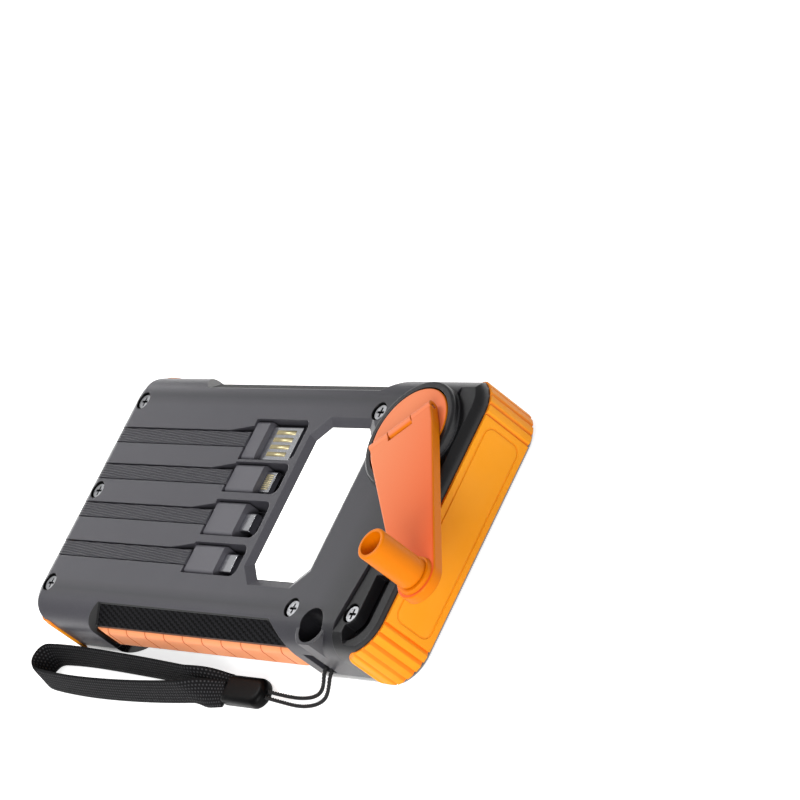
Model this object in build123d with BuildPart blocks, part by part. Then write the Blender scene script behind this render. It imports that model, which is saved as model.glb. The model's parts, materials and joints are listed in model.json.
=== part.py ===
"""Hand crank phone charger: a flat battery case with a solar panel underneath, four
captive charging leads, an area lamp and a folding crank that drives a small generator.
The case lies on its solar face. +X is the crank end, +Y the side with the button and ports.
"""

import math
import os

from build123d import *

os.makedirs("parts", exist_ok=True)

# ---------------------------------------------------------------- driving dimensions, mm
# casing
body_length = 165.0
body_width = 85.0
body_height = 24.0
end_proud = 0.8
side_proud = 0.5
corner_radius = 10.5
top_edge_radius = 4.5
bottom_edge_radius = 3.5
side_top_radius = 8.5
side_bottom_radius = 5.5
wall = 2.0
top_thickness = 4.4
frame_floor_top = 4.0
frame_rim_height = 6.5
fit_gap = 0.2
running_gap = 0.05

# waist between the two end blocks
waist_inset = 2.1
waist_face_inset = 6.5
waist_low_face_inset = 5.5
waist_half_length = 41.5
waist_shift = -3.8
waist_end_slant = 9.2
waist_bevel_drop = 1.0
waist_bevel_low_drop = 6.5
waist_lip = 0.7
waist_foot = 0.3
waist_plan_margin = 0.8
trim_thickness = 0.8
trim_end_gap = 1.0

# side strips
strip_length = 99.0
strip_sink = 0.8
strip_height = 9.2
strip_depth = 3.4
strip_round = 2.2
strip_line_pitch = 9.45
strip_line_count = 10
strip_line_width = 0.35
strip_line_depth = 0.3
strip_ramp_length = 5.0
strip_ramp_drop = 1.8

# end bumpers
bumper_low = 2.7
bumper_top_drop = 4.6
bumper_thickness = 1.8
bumper_reach = 71.5
bumper_tongue_round = 4.0
ridge_depth = 0.7
ridge_count = 6
ridge_first_angle = 8.0
ridge_step_angle = 16.0
panel_line_width = 0.5
panel_line_depth = 0.25
panel_line_half_width = 29.5
panel_line_margin = 1.8
panel_line_round = 3.0

# solar panel
panel_end_margin = 13.8
panel_side_margin = 6.3
panel_corner = 3.0
glass_thickness = 1.6
cell_thickness = 0.8
cell_margin = 1.0

# captive leads
lead_centres = (18.8, 6.5, -6.5, -19.5)
lead_width = 4.8
lead_thickness = 2.0
lead_end = -12.5
lead_channel_gap = 0.3
lead_channel_depth = 2.4
lead_hinge_x = -72.8
lead_rib_count = 5
lead_rib_pitch = 0.8
lead_rib_depth = 0.25
relief_length = 12.5
relief_width = 2.0
relief_depth = 2.6

# plugs: body width, body length, tongue width, tongue length, tongue thickness, pocket end
plug_sizes = (
    (12.5, 6.7, 11.2, 14.3, 2.0, 13.4),
    (9.1, 14.0, 6.8, 4.9, 1.6, 14.0),
    (10.8, 14.5, 5.9, 4.8, 2.4, 14.0),
    (9.2, 14.6, 6.0, 5.7, 2.4, 13.6),
)
plug_thickness = 5.2
plug_corner = 1.2
plug_top_drop = 0.4
pocket_depth = 6.6
pocket_gap = 0.35
pocket_round = 2.6
tub_wall = 1.4

# area lamp
lamp_low_x = 18.5
lamp_high_x = 44.2
lamp_half_width = 24.0
lamp_chamfer = 4.4
lamp_slope_width = 2.6
lamp_recess = 1.4
lamp_thickness = 1.6
lamp_seat = 1.2
led_board_thickness = 1.6
led_board_margin = 1.6
led_rows = 3
led_columns = 7
led_pitch_x = 7.0
led_pitch_y = 6.4
led_size = 2.8
led_height = 0.7

# crank
hub_x = 62.8
hub_inset = 21.2
boss_radius = 16.5
boss_rise = 2.0
well_radius = 14.2
well_depth = 1.4
rotor_radius = 13.8
rotor_thickness = 3.3
rotor_lift = 0.3
arm_rest_angle = -49.5
arm_thickness = 3.0
arm_gap = 0.4
arm_root_half_width = 11.0
arm_tip_radius = 6.4
lug_width = 8.0
knuckle_radius = 1.7
knuckle_clear = 2.8
hinge_pin_radius = 0.8
boss_ring_radius = 5.6
boss_ring_height = 1.1
handle_radius = 4.5
handle_bore_radius = 3.4
handle_length = 15.5
handle_floor = 4.0
spindle_radius = 2.0
spindle_head_radius = 3.0
spindle_head_height = 1.0
stow_x = 57.8
stow_inset = 6.1
stow_radius = 4.9
stow_floor = 7.8
stow_wall = 1.2
stow_collar_drop = 0.9

# crank end housing
seam_inner_x = 66.8
seam_outer_x = 72.0
seam_run = 38.0
seam_gap = 0.3
housing_drop = 0.9
trough_outer = 3.4
trough_inner = 7.0
trough_depth = 5.4
trough_run = 22.5
rim_drop = 3.0

# gear train
gear_module = 0.8
gear_teeth = 36
pinion_teeth = 12
pressure_angle = 20.0
tooth_addendum = 0.8
tooth_dedendum = 1.1
tooth_thinning = 0.12
gear_face = 2.4
plate_thickness = 1.5
plate_reach_in = 15.3
plate_reach_out = 14.2
plate_reach_down = 49.8
plate_reach_up = 15.0
low_gear_z = 6.0
high_gear_z = 9.6
axle_radius = 1.5
crank_shaft_radius = 2.5
crank_pivot_radius = 1.9
bush_radius = 4.2
train_angle_1 = -92.0
train_angle_2 = -88.0
generator_radius = 12.0
generator_low = 9.6
generator_shaft_radius = 1.0
stand_radius = 1.5
stand_reach = 9.5
stand_angles = (-30.0, -150.0)

# electronics
battery_length = 92.0
battery_width = 25.5
battery_height = 8.6
battery_start_x = -64.0
battery_gap = 1.0
battery_inset = 7.0
board_thickness = 1.6
board_low_x = -52.0
board_high_x = 43.0
board_inner_y = 20.0
board_inset = 5.4
board_height = 8.0
board_post_radius = 2.0
board_post_inset = 4.0
board_post_far = 12.0
board_post_middle = 22.0
switch_size = 5.6
switch_height = 5.6

# port side details
button_x = 37.7
button_length = 7.3
button_height = 7.0
button_gap = 0.3
button_travel = 0.6
button_proud = 0.35
light_positions = (26.5, 21.3, 16.0, 10.9)
light_radii = (0.8, 0.7, 0.6, 0.5)
charge_light_x = 0.0
charge_light_radius = 1.2
flap_start_x = -14.3
flap_end_x = -49.0
flap_thickness = 1.5
flap_gap = 0.3
flap_tab_length = 6.0
wide_port_x = -27.0
wide_port_width = 13.2
wide_port_height = 5.8
wide_port_length = 14.0
small_port_x = -40.5
small_port_width = 8.9
small_port_height = 3.2
small_port_length = 7.5
port_shell = 0.4

# screws
screw_head_radius = 2.3
screw_head_height = 1.4
screw_shank_radius = 1.1
screw_shank_length = 5.0
screw_well_radius = 2.8
screw_post_radius = 2.4
screw_sink = 0.6
slot_width = 0.7
slot_depth = 0.8
cover_screw_xs = (42.2, 46.4)
cover_screw_insets = (13.7, 10.5)
tail_screw_x = -75.2
tail_screw_insets = (12.0, 11.4)
housing_screw_x = 71.6
housing_screw_inset = 10.9

# wrist strap
post_x = 52.6
post_inset = 1.9
post_radius = 0.8
post_pocket_length = 5.0
post_pocket_x = 52.5
post_pocket_inset = 4.1
cord_radius = 0.6
clasp_length = 18.5
clasp_width = 8.6
clasp_height = 4.6
clasp_right_x = 21.5
clasp_y = -48.6
webbing_width = 9.4
webbing_thickness = 1.1

# ---------------------------------------------------------------- sizes worked out from them
core_length = body_length - 2 * end_proud
core_width = body_width - 2 * side_proud
half_width = body_width / 2
waist_half_width = half_width - waist_inset
strip_face = half_width - strip_sink
strip_low_x = waist_shift - strip_length / 2
strip_high_x = waist_shift + strip_length / 2
waist_face_half_width = half_width - waist_face_inset
waist_low_face_half_width = half_width - waist_low_face_inset
waist_bevel_top = body_height - waist_bevel_drop
waist_bevel_low = body_height - waist_bevel_low_drop
bumper_high = body_height - bumper_top_drop
panel_length = body_length - 2 * panel_end_margin
panel_width = body_width - 2 * panel_side_margin
hub_y = half_width - hub_inset
boss_top = body_height + boss_rise
well_floor = body_height - well_depth
stow_y = stow_inset - half_width
trough_floor = body_height - trough_depth
trough_end_y = trough_run - half_width
rim_top = body_height - rim_drop
generator_high = trough_floor - wall - fit_gap
battery_edge_y = battery_inset - half_width
board_edge_y = half_width - board_inset
cover_screw_spots = (
    (cover_screw_xs[0], half_width - cover_screw_insets[0]),
    (cover_screw_xs[1], cover_screw_insets[1] - half_width),
)
tail_screw_ys = (half_width - tail_screw_insets[0], 0.0, tail_screw_insets[1] - half_width)
housing_screw = (housing_screw_x, housing_screw_inset - half_width)
post_y = post_inset - half_width
post_pocket_y = post_pocket_inset - half_width
core_end_x = core_length / 2
core_side_y = core_width / 2
mid_height = body_height / 2
cavity_top = body_height - top_thickness
cavity_end_x = body_length / 2 - bumper_thickness - wall
strip_back_y = body_width / 2 - strip_depth
side_wall = wall * 0.7
cavity_side_y = strip_back_y - side_wall
pocket_floor = body_height - pocket_depth
boss_bottom = pocket_floor - tub_wall
screw_seat = body_height - screw_sink - screw_head_height
lamp_top = body_height - lamp_recess
lamp_bottom = lamp_top - lamp_thickness
board_top = board_height + board_thickness
strip_low = mid_height - strip_height / 2
strip_high = mid_height + strip_height / 2
waist_bevel_bottom = body_height - waist_bevel_top
waist_bevel_high = body_height - waist_bevel_low
panel_depth = glass_thickness + cell_thickness
hub = Vector(hub_x, hub_y)
stow = Vector(stow_x, stow_y)
arm_reach = (stow - hub).length
gear_pitch_radius = gear_module * gear_teeth / 2
pinion_pitch_radius = gear_module * pinion_teeth / 2
gear_distance = gear_pitch_radius + pinion_pitch_radius
rotor_low = well_floor + rotor_lift
rotor_high = rotor_low + rotor_thickness
arm_low = rotor_high + arm_gap
arm_high = arm_low + arm_thickness
pin_height = (arm_low + arm_high) / 2
lead_top = body_height - lead_channel_depth + 0.2 + lead_thickness
lead_bottom = lead_top - lead_thickness
lead_axis_z = (lead_top + lead_bottom) / 2
arm_heading = Vector(math.cos(math.radians(arm_rest_angle)), math.sin(math.radians(arm_rest_angle)))
handle_spot = hub + arm_heading * arm_reach
compound_spot = hub + Vector(gear_distance, 0).rotate(Axis.Z, train_angle_1)
generator_spot = compound_spot + Vector(gear_distance, 0).rotate(Axis.Z, train_angle_2)


def save(block, label):
    """Name a finished sub-part and write its STEP file."""
    block.part.label = label
    export_step(block.part, f"parts/{label}.step")
    return block.part


# ---------------------------------------------------------------- casing blanks
def waist_plan(side, gap):
    """The waist seen from above, with slanted ends, less a gap at each end."""
    short_half = waist_half_length - gap
    long_half = short_half + waist_end_slant
    with BuildPart() as region:
        with BuildSketch(Plane.XY.offset(-2)):
            with BuildLine():
                Polyline(
                    (waist_shift - short_half, side * (waist_face_half_width - waist_plan_margin)),
                    (waist_shift + short_half, side * (waist_face_half_width - waist_plan_margin)),
                    (waist_shift + long_half, side * (core_side_y + waist_plan_margin)),
                    (waist_shift - long_half, side * (core_side_y + waist_plan_margin)),
                    close=True,
                )
            make_face()
        extrude(amount=body_height + 4)
    return region.part


def waist_cutter(side):
    """What the waist takes off one long side of the plain block."""
    far = body_width
    with BuildPart() as cutter:
        with BuildSketch(Plane.YZ.offset(-body_length / 2)):
            with BuildLine():
                Polyline(
                    (side * (waist_face_half_width - waist_lip), body_height),
                    (side * waist_face_half_width, waist_bevel_top),
                    (side * waist_half_width, waist_bevel_low),
                    (side * waist_half_width, waist_bevel_high),
                    (side * waist_low_face_half_width, waist_bevel_bottom),
                    (side * (waist_low_face_half_width - waist_foot), 0),
                    (side * (waist_low_face_half_width - waist_foot), -1),
                    (side * far, -1),
                    (side * far, body_height + 1),
                    (side * (waist_face_half_width - waist_lip), body_height + 1),
                    close=True,
                )
            make_face()
        extrude(amount=body_length)
        add(waist_plan(side, 0.0), mode=Mode.INTERSECT)
    return cutter.part


def side_profile(grow=0.0):
    """A bar along the part with its long edges rounded, grown by a distance on its sides and edges."""
    with BuildPart() as bar:
        with BuildSketch(Plane.YZ.offset(-body_length)):
            with Locations((0, body_height / 2)):
                Rectangle(core_width + 2 * grow, body_height)
        extrude(amount=2 * body_length)
        fillet(bar.edges().filter_by(Axis.X).group_by(Axis.Z)[-1], side_top_radius + grow)
        fillet(bar.edges().filter_by(Axis.X).group_by(Axis.Z)[0], side_bottom_radius + grow)
    return bar.part


def bumper_blank(end):
    """A band round one end of the block, without its ridges."""
    with BuildPart() as band:
        with BuildSketch(Plane.XY.offset(bumper_low)):
            RectangleRounded(body_length, body_width, corner_radius + end_proud)
            RectangleRounded(
                body_length - 2 * bumper_thickness,
                body_width - 2 * bumper_thickness,
                corner_radius + end_proud - bumper_thickness,
                mode=Mode.SUBTRACT,
            )
        extrude(amount=bumper_high - bumper_low)
        with BuildSketch(Plane.XZ.offset(-body_width)):
            with Locations((end * (bumper_reach + body_length / 2), (bumper_low + bumper_high) / 2)):
                RectangleRounded(body_length, bumper_high - bumper_low, bumper_tongue_round)
        extrude(amount=2 * body_width, mode=Mode.INTERSECT)
        add(side_profile(side_proud), mode=Mode.INTERSECT)
    return band.part


def strip_blank(side):
    """The plain bar of a side strip, from the back of its groove to its face."""
    with BuildPart() as bar:
        with BuildSketch(Plane.YZ.offset(strip_low_x)):
            with Locations((side * (strip_face + strip_back_y) / 2, mid_height)):
                Rectangle(strip_face - strip_back_y, strip_height)
        extrude(amount=strip_length)
        fillet(
            bar.faces().sort_by(Axis.Y)[-1 if side > 0 else 0].edges(),
            strip_round,
        )
    return bar.part


def trim_blank(side, upper):
    """A thin textured plate that lies on one bevel of the waist."""
    flip = 1 if upper else -1
    edge_z = mid_height + flip * (waist_bevel_top - mid_height)
    low_z = mid_height + flip * (waist_bevel_low - mid_height)
    face_y = waist_face_half_width if upper else waist_low_face_half_width
    run = math.hypot(waist_half_width - face_y, waist_bevel_top - waist_bevel_low)
    in_y = trim_thickness * (waist_bevel_top - waist_bevel_low) / run
    in_z = trim_thickness * (waist_half_width - face_y) / run
    with BuildPart() as plate:
        with BuildSketch(Plane.YZ.offset(-body_length / 2)):
            with BuildLine():
                Polyline(
                    (side * face_y, edge_z),
                    (side * waist_half_width, low_z),
                    (side * (waist_half_width - in_y), low_z - flip * in_z),
                    (side * (face_y - in_y), edge_z - flip * in_z),
                    close=True,
                )
            make_face()
        extrude(amount=body_length)
        add(waist_plan(side, trim_end_gap), mode=Mode.INTERSECT)
    return plate.part


cutters = [waist_cutter(1), waist_cutter(-1)]
bumper_blanks = {end: bumper_blank(end) for end in (1, -1)}
strip_blanks = {side: strip_blank(side) for side in (1, -1)}
trim_blanks = {(side, upper): trim_blank(side, upper) for side in (1, -1) for upper in (True, False)}

with BuildPart() as casing_blank:
    with BuildSketch():
        RectangleRounded(core_length, core_width, corner_radius)
    extrude(amount=body_height)
    fillet(casing_blank.edges().group_by(Axis.Z)[-1], top_edge_radius)
    fillet(casing_blank.edges().group_by(Axis.Z)[0], bottom_edge_radius)
    add(side_profile(), mode=Mode.INTERSECT)
    for piece in cutters:
        add(piece, mode=Mode.SUBTRACT)
    for piece in [*bumper_blanks.values(), *strip_blanks.values(), *trim_blanks.values()]:
        add(piece, mode=Mode.SUBTRACT)

with BuildPart() as cavity:
    with BuildSketch(Plane.XY.offset(frame_floor_top)):
        RectangleRounded(2 * cavity_end_x, 2 * (core_side_y - wall - bumper_thickness), corner_radius - wall)
    extrude(amount=cavity_top - frame_floor_top)
    with BuildSketch(Plane.YZ.offset(-body_length / 2)):
        with BuildLine():
            Polyline(
                (-waist_low_face_half_width + 0.4, frame_floor_top),
                (waist_low_face_half_width - 0.4, frame_floor_top),
                (cavity_side_y, frame_rim_height),
                (cavity_side_y, waist_bevel_low - trim_thickness - 1.0),
                (waist_low_face_half_width - wall - 0.4, cavity_top),
                (-waist_low_face_half_width + wall + 0.4, cavity_top),
                (-cavity_side_y, waist_bevel_low - trim_thickness - 1.0),
                (-cavity_side_y, frame_rim_height),
                close=True,
            )
        make_face()
    extrude(amount=body_length, mode=Mode.INTERSECT)

# the region of the block that the black housing at the crank end takes from the grey cover
with BuildPart() as housing_region:
    with BuildSketch(Plane.XY.offset(frame_rim_height)):
        with BuildLine():
            Polyline(
                (seam_inner_x, -body_width),
                (seam_inner_x, -body_width / 2),
                (seam_outer_x, -body_width / 2 + seam_run),
                (seam_outer_x, body_width),
                (body_length, body_width),
                (body_length, -body_width),
                close=True,
            )
        make_face()
        with Locations((hub_x, hub_y)):
            Circle(boss_radius, mode=Mode.SUBTRACT)
    extrude(amount=body_height)

# the zone near the open corner where the housing's top drops into a trough
with BuildPart() as trough_region:
    with BuildSketch(Plane.XY.offset(trough_floor)):
        RectangleRounded(core_length - 2 * trough_outer, core_width - 2 * trough_outer, corner_radius - trough_outer)
        RectangleRounded(core_length - 2 * trough_inner, core_width - 2 * trough_inner, corner_radius - trough_inner, mode=Mode.SUBTRACT)
        with Locations((core_end_x, -core_side_y)):
            Rectangle(
                2 * (core_end_x - seam_outer_x + 0.5), 2 * (core_side_y + trough_end_y), mode=Mode.INTERSECT
            )
    extrude(amount=body_height - trough_floor)


# ---------------------------------------------------------------- openings shared by the casing parts
def lamp_outline(grow=0.0):
    """Points of the eight-sided lamp window, grown by a distance on every side."""
    low, high, half, cut = lamp_low_x - grow, lamp_high_x + grow, lamp_half_width + grow, lamp_chamfer + grow / 2
    return [
        (low + cut, -half),
        (high - cut, -half),
        (high, -half + cut),
        (high, half - cut),
        (high - cut, half),
        (low + cut, half),
        (low, half - cut),
        (low, -half + cut),
    ]


def lead_path_cut(y, width, outer, inner, end_x):
    """A flat lead's side view, over the rounded tail edge and along the cover, spread to a width."""
    arc_x = -core_end_x + top_edge_radius
    arc_z = body_height - top_edge_radius
    with BuildPart() as lane:
        with BuildSketch(Plane.XZ.offset(-y - width / 2)):
            with BuildLine():
                Line((end_x, arc_z + outer), (arc_x, arc_z + outer))
                CenterArc((arc_x, arc_z), outer, 90, 90)
                Line((arc_x - outer, arc_z), (arc_x - inner, arc_z))
                CenterArc((arc_x, arc_z), inner, 180, -90)
                Line((arc_x, arc_z + inner), (end_x, arc_z + inner))
                Line((end_x, arc_z + inner), (end_x, arc_z + outer))
            make_face()
        extrude(amount=width)
    return lane.part


def pocket_blank(index, top, grow=0.0):
    """The pocket in the cover that a plug lies in, round at its far end, up to a height."""
    body_wide, _, _, _, _, pocket_end = plug_sizes[index]
    wide = body_wide + 2 * pocket_gap + 2 * grow
    start = lead_end - grow
    end = pocket_end + grow
    floor = pocket_floor - grow
    with BuildPart() as pocket:
        with BuildSketch(Plane.XY.offset(floor)):
            with Locations(((start + end) / 2, lead_centres[index])):
                Rectangle(end - start, wide)
        extrude(amount=top - floor)
        fillet(pocket.edges().filter_by(Axis.Z).group_by(Axis.X)[-1], pocket_round + grow)
    return pocket.part


lanes = [
    lead_path_cut(
        y,
        lead_width + 2 * lead_channel_gap,
        top_edge_radius + 1,
        top_edge_radius - lead_channel_depth,
        lead_end + 0.5,
    )
    for y in lead_centres
]
pockets = [pocket_blank(index, body_height + 1) for index in range(len(plug_sizes))]
screw_spots = [*cover_screw_spots, *[(tail_screw_x, y) for y in tail_screw_ys]]

# everything that passes through the +Y wall behind the port side strip
with BuildPart() as port_side_holes:
    with BuildSketch(Plane.XZ.offset(-body_width / 2 - 1)):
        with Locations((button_x, mid_height)):
            RectangleRounded(button_length + 2 * button_gap, button_height + 2 * button_gap, 1.2)
        for x, radius in zip(light_positions, light_radii):
            with Locations((x, mid_height)):
                Circle(radius)
        with Locations((charge_light_x, mid_height)):
            Circle(charge_light_radius)
        with Locations((wide_port_x, board_top + wide_port_height / 2)):
            Rectangle(wide_port_width + 2 * fit_gap, wide_port_height + 2 * fit_gap)
        with Locations((small_port_x, board_top + small_port_height / 2)):
            RectangleRounded(
                small_port_width + 2 * fit_gap,
                small_port_height + 2 * fit_gap,
                small_port_height / 2,
            )
    extrude(amount=body_width / 2 + 1 - board_edge_y + 2)

# ---------------------------------------------------------------- grey back cover
with BuildPart() as back_cover:
    add(casing_blank.part)
    with BuildSketch(Plane.XY.offset(frame_rim_height)):
        Rectangle(body_length, body_width)
    extrude(amount=-body_height, mode=Mode.SUBTRACT)
    add(cavity.part, mode=Mode.SUBTRACT)
    add(housing_region.part, mode=Mode.SUBTRACT)
    # boss that carries the crank, with a well for the rotor and a bore for the bush
    with BuildSketch(Plane.XY.offset(boss_bottom)):
        with Locations((hub_x, hub_y)):
            Circle(boss_radius - seam_gap)
    extrude(amount=boss_top - boss_bottom)
    fillet(back_cover.faces().sort_by(Axis.Z)[-1].edges(), 0.8)
    with BuildSketch(Plane.XY.offset(well_floor)):
        with Locations((hub_x, hub_y)):
            Circle(well_radius)
    extrude(amount=body_height, mode=Mode.SUBTRACT)
    with BuildSketch(Plane.XY):
        with Locations((hub_x, hub_y)):
            Circle(bush_radius)
    extrude(amount=body_height, mode=Mode.SUBTRACT)
    # tubs under the plug pockets, and the sleeve of the hole that the folded handle goes into
    for index in range(len(plug_sizes)):
        add(pocket_blank(index, cavity_top + 0.5, tub_wall))
    with BuildSketch(Plane.XY.offset(stow_floor - stow_wall)):
        with Locations((stow_x, stow_y)):
            Circle(stow_radius + stow_wall)
        RectangleRounded(core_length, core_width, corner_radius, mode=Mode.INTERSECT)
    extrude(amount=body_height - stow_collar_drop - stow_floor + stow_wall)
    with BuildSketch(Plane.XY.offset(stow_floor)):
        with Locations((stow_x, stow_y)):
            Circle(stow_radius)
    extrude(amount=body_height, mode=Mode.SUBTRACT)
    for piece in [*lanes, *pockets]:
        add(piece, mode=Mode.SUBTRACT)
    # finger reliefs beside the leads, widening towards the plugs
    with BuildSketch(Plane.XY.offset(body_height - relief_depth)):
        for y in lead_centres:
            edge = y + lead_width / 2
            with BuildLine():
                Polyline(
                    (lead_end - relief_length, edge),
                    (lead_end + 0.5, edge),
                    (lead_end + 0.5, edge + relief_width),
                    close=True,
                )
            make_face()
    extrude(amount=body_height, mode=Mode.SUBTRACT)
    # lamp window: a sloped surround, a seat for the lens and the light opening
    with BuildSketch(Plane.XY.offset(body_height + 0.01)):
        Polygon(*lamp_outline(lamp_slope_width), align=None)
    with BuildSketch(Plane.XY.offset(lamp_top)):
        Polygon(*lamp_outline(fit_gap), align=None)
    loft(ruled=True, mode=Mode.SUBTRACT)
    with BuildSketch(Plane.XY.offset(lamp_bottom)):
        Polygon(*lamp_outline(0.0), align=None)
    extrude(amount=body_height, mode=Mode.SUBTRACT)
    with BuildSketch(Plane.XY.offset(cavity_top - 0.1)):
        Polygon(*lamp_outline(-lamp_seat), align=None)
    extrude(amount=body_height, mode=Mode.SUBTRACT)
    # screws
    with BuildSketch(Plane.XY.offset(screw_seat)):
        with Locations(*screw_spots):
            Circle(screw_well_radius)
    extrude(amount=body_height, mode=Mode.SUBTRACT)
    with BuildSketch(Plane.XY.offset(cavity_top - 0.1)):
        with Locations(*screw_spots):
            Circle(screw_shank_radius)
    extrude(amount=body_height, mode=Mode.SUBTRACT)
    add(port_side_holes.part, mode=Mode.SUBTRACT)
    # pocket for the strap post at the crank end of the -Y strip
    with BuildSketch(Plane.XZ.offset(-post_pocket_y)):
        with Locations((post_pocket_x, mid_height)):
            Rectangle(post_pocket_length, strip_height)
    extrude(amount=body_width, mode=Mode.SUBTRACT)
save(back_cover, "back_cover")

# ---------------------------------------------------------------- black housing at the crank end
with BuildPart() as crank_end_housing:
    add(casing_blank.part)
    add(cavity.part, mode=Mode.SUBTRACT)
    add(housing_region.part, mode=Mode.INTERSECT)
    with BuildSketch(Plane.XY.offset(body_height - housing_drop)):
        Rectangle(2 * body_length, body_width)
    extrude(amount=body_height, mode=Mode.SUBTRACT)
    with BuildSketch(Plane.XY.offset(trough_floor - wall)):
        RectangleRounded(core_length - 2 * trough_outer, core_width - 2 * trough_outer, corner_radius - trough_outer)
        with Locations((core_end_x, -core_side_y)):
            Rectangle(
                2 * (core_end_x - seam_outer_x + 0.5), 2 * (core_side_y + trough_end_y), mode=Mode.INTERSECT
            )
        with Locations(housing_screw):
            Circle(screw_shank_radius, mode=Mode.SUBTRACT)
    extrude(amount=wall)
    add(trough_region.part, mode=Mode.SUBTRACT)
    with BuildSketch(Plane.XY.offset(rim_top)):
        RectangleRounded(core_length + 1, core_width + 1, corner_radius)
        RectangleRounded(
            core_length - 2 * trough_outer,
            core_width - 2 * trough_outer,
            corner_radius - trough_outer,
            mode=Mode.SUBTRACT,
        )
        with Locations((core_end_x, -core_side_y)):
            Rectangle(
                2 * (core_end_x - seam_outer_x + 0.5), 2 * (core_side_y + trough_end_y), mode=Mode.INTERSECT
            )
    extrude(amount=body_height, mode=Mode.SUBTRACT)
    with BuildSketch(Plane.XY.offset(screw_seat - housing_drop)):
        with Locations(housing_screw):
            Circle(screw_well_radius)
    extrude(amount=body_height, mode=Mode.SUBTRACT)
    with BuildSketch(Plane.XY.offset(trough_floor - wall - 0.1)):
        with Locations(housing_screw):
            Circle(screw_shank_radius)
    extrude(amount=body_height, mode=Mode.SUBTRACT)
save(crank_end_housing, "crank_end_housing")

# ---------------------------------------------------------------- black frame round the solar panel
frame_post_tops = [
    *[(spot, cavity_top) for spot in screw_spots],
    (housing_screw, trough_floor - wall),
]
board_posts = [
    (board_low_x + board_post_inset, board_inner_y + board_post_inset),
    (board_high_x - board_post_far, board_inner_y + board_post_inset),
    (board_low_x + board_post_middle, board_inner_y + board_post_inset),
]
with BuildPart() as front_frame:
    add(casing_blank.part)
    with BuildSketch(Plane.XY.offset(frame_rim_height)):
        Rectangle(body_length, body_width)
    extrude(amount=body_height, mode=Mode.SUBTRACT)
    add(cavity.part, mode=Mode.SUBTRACT)
    with BuildSketch(Plane.XY.offset(-1)):
        RectangleRounded(panel_length, panel_width, panel_corner)
    extrude(amount=panel_depth + 1, mode=Mode.SUBTRACT)
    for (x, y), top in frame_post_tops:
        with BuildSketch(Plane.XY.offset(frame_floor_top - 0.5)):
            with Locations((x, y)):
                Circle(screw_post_radius)
        extrude(amount=top - frame_floor_top + 0.5)
        with BuildSketch(Plane.XY.offset(top - screw_shank_length)):
            with Locations((x, y)):
                Circle(screw_shank_radius)
        extrude(amount=screw_shank_length + 1, mode=Mode.SUBTRACT)
    with BuildSketch(Plane.XY.offset(frame_floor_top - 0.5)):
        with Locations(*board_posts):
            Circle(board_post_radius)
    extrude(amount=board_height - frame_floor_top + 0.5)
save(front_frame, "front_frame")

with BuildPart() as solar_glass:
    with BuildSketch():
        RectangleRounded(panel_length - 2 * fit_gap, panel_width - 2 * fit_gap, panel_corner - fit_gap)
    extrude(amount=glass_thickness)
save(solar_glass, "solar_glass")

with BuildPart() as solar_cells:
    with BuildSketch(Plane.XY.offset(glass_thickness)):
        RectangleRounded(panel_length - 2 * cell_margin, panel_width - 2 * cell_margin, panel_corner - cell_margin)
    extrude(amount=cell_thickness)
save(solar_cells, "solar_cells")

# ---------------------------------------------------------------- end bumpers with ridged corners
outer_corner = corner_radius + end_proud
for end, label in ((1, "crank_end_bumper"), (-1, "tail_end_bumper")):
    with BuildPart() as bumper:
        add(bumper_blanks[end])
        with BuildSketch(Plane.XY.offset(bumper_low)):
            for side in (1, -1):
                centre = Vector(end * (body_length / 2 - outer_corner), side * (body_width / 2 - outer_corner))
                for ridge in range(ridge_count):
                    angle = math.radians(ridge_first_angle + ridge_step_angle * ridge - 8)
                    back = math.radians(ridge_first_angle + ridge_step_angle * (ridge + 0.8) - 8)
                    with BuildLine():
                        Polyline(
                            *[
                                centre + Vector(end * radius * math.cos(turn), side * radius * math.sin(turn))
                                for radius, turn in (
                                    (outer_corner - ridge_depth, angle),
                                    (outer_corner + 1, angle),
                                    (outer_corner + 1, back),
                                )
                            ],
                            close=True,
                        )
                    make_face()
        extrude(amount=bumper_high - bumper_low, mode=Mode.SUBTRACT)
        with BuildSketch(Plane.YZ.offset(end * body_length / 2)):
            with Locations((0, (bumper_low + bumper_high) / 2)):
                line_height = bumper_high - bumper_low - 2 * panel_line_margin
                RectangleRounded(2 * panel_line_half_width, line_height, panel_line_round)
                RectangleRounded(
                    2 * panel_line_half_width - 2 * panel_line_width,
                    line_height - 2 * panel_line_width,
                    panel_line_round - panel_line_width,
                    mode=Mode.SUBTRACT,
                )
        extrude(amount=-end * panel_line_depth, mode=Mode.SUBTRACT)
    save(bumper, label)

# ---------------------------------------------------------------- textured trims on the waist bevels
for (side, upper), plate in trim_blanks.items():
    side_name = "port_side" if side > 0 else "strap_side"
    level = "upper" if upper else "lower"
    with BuildPart() as trim:
        add(plate)
    save(trim, f"{level}_trim_{side_name}")

# ---------------------------------------------------------------- side strips
def strip_lines_and_ramps(side):
    """The fine cross lines of a strip's face and the ramps at its two ends."""
    face_y = side * strip_face
    with BuildPart() as cuts:
        with BuildSketch(Plane.XY.offset(strip_low - 1)):
            with Locations((waist_shift, face_y)):
                with GridLocations(strip_line_pitch, 1, strip_line_count, 1):
                    Rectangle(strip_line_width, 2 * strip_line_depth)
            for end in (1, -1):
                with BuildLine():
                    Polyline(
                        (waist_shift + end * (strip_length / 2 - strip_ramp_length), face_y + side * 0.01),
                        (waist_shift + end * (strip_length / 2 + 0.5), face_y - side * strip_ramp_drop),
                        (waist_shift + end * (strip_length / 2 + 0.5), face_y + side * 1.0),
                        close=True,
                    )
                make_face()
        extrude(amount=strip_height + 2)
    return cuts.part


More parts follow.
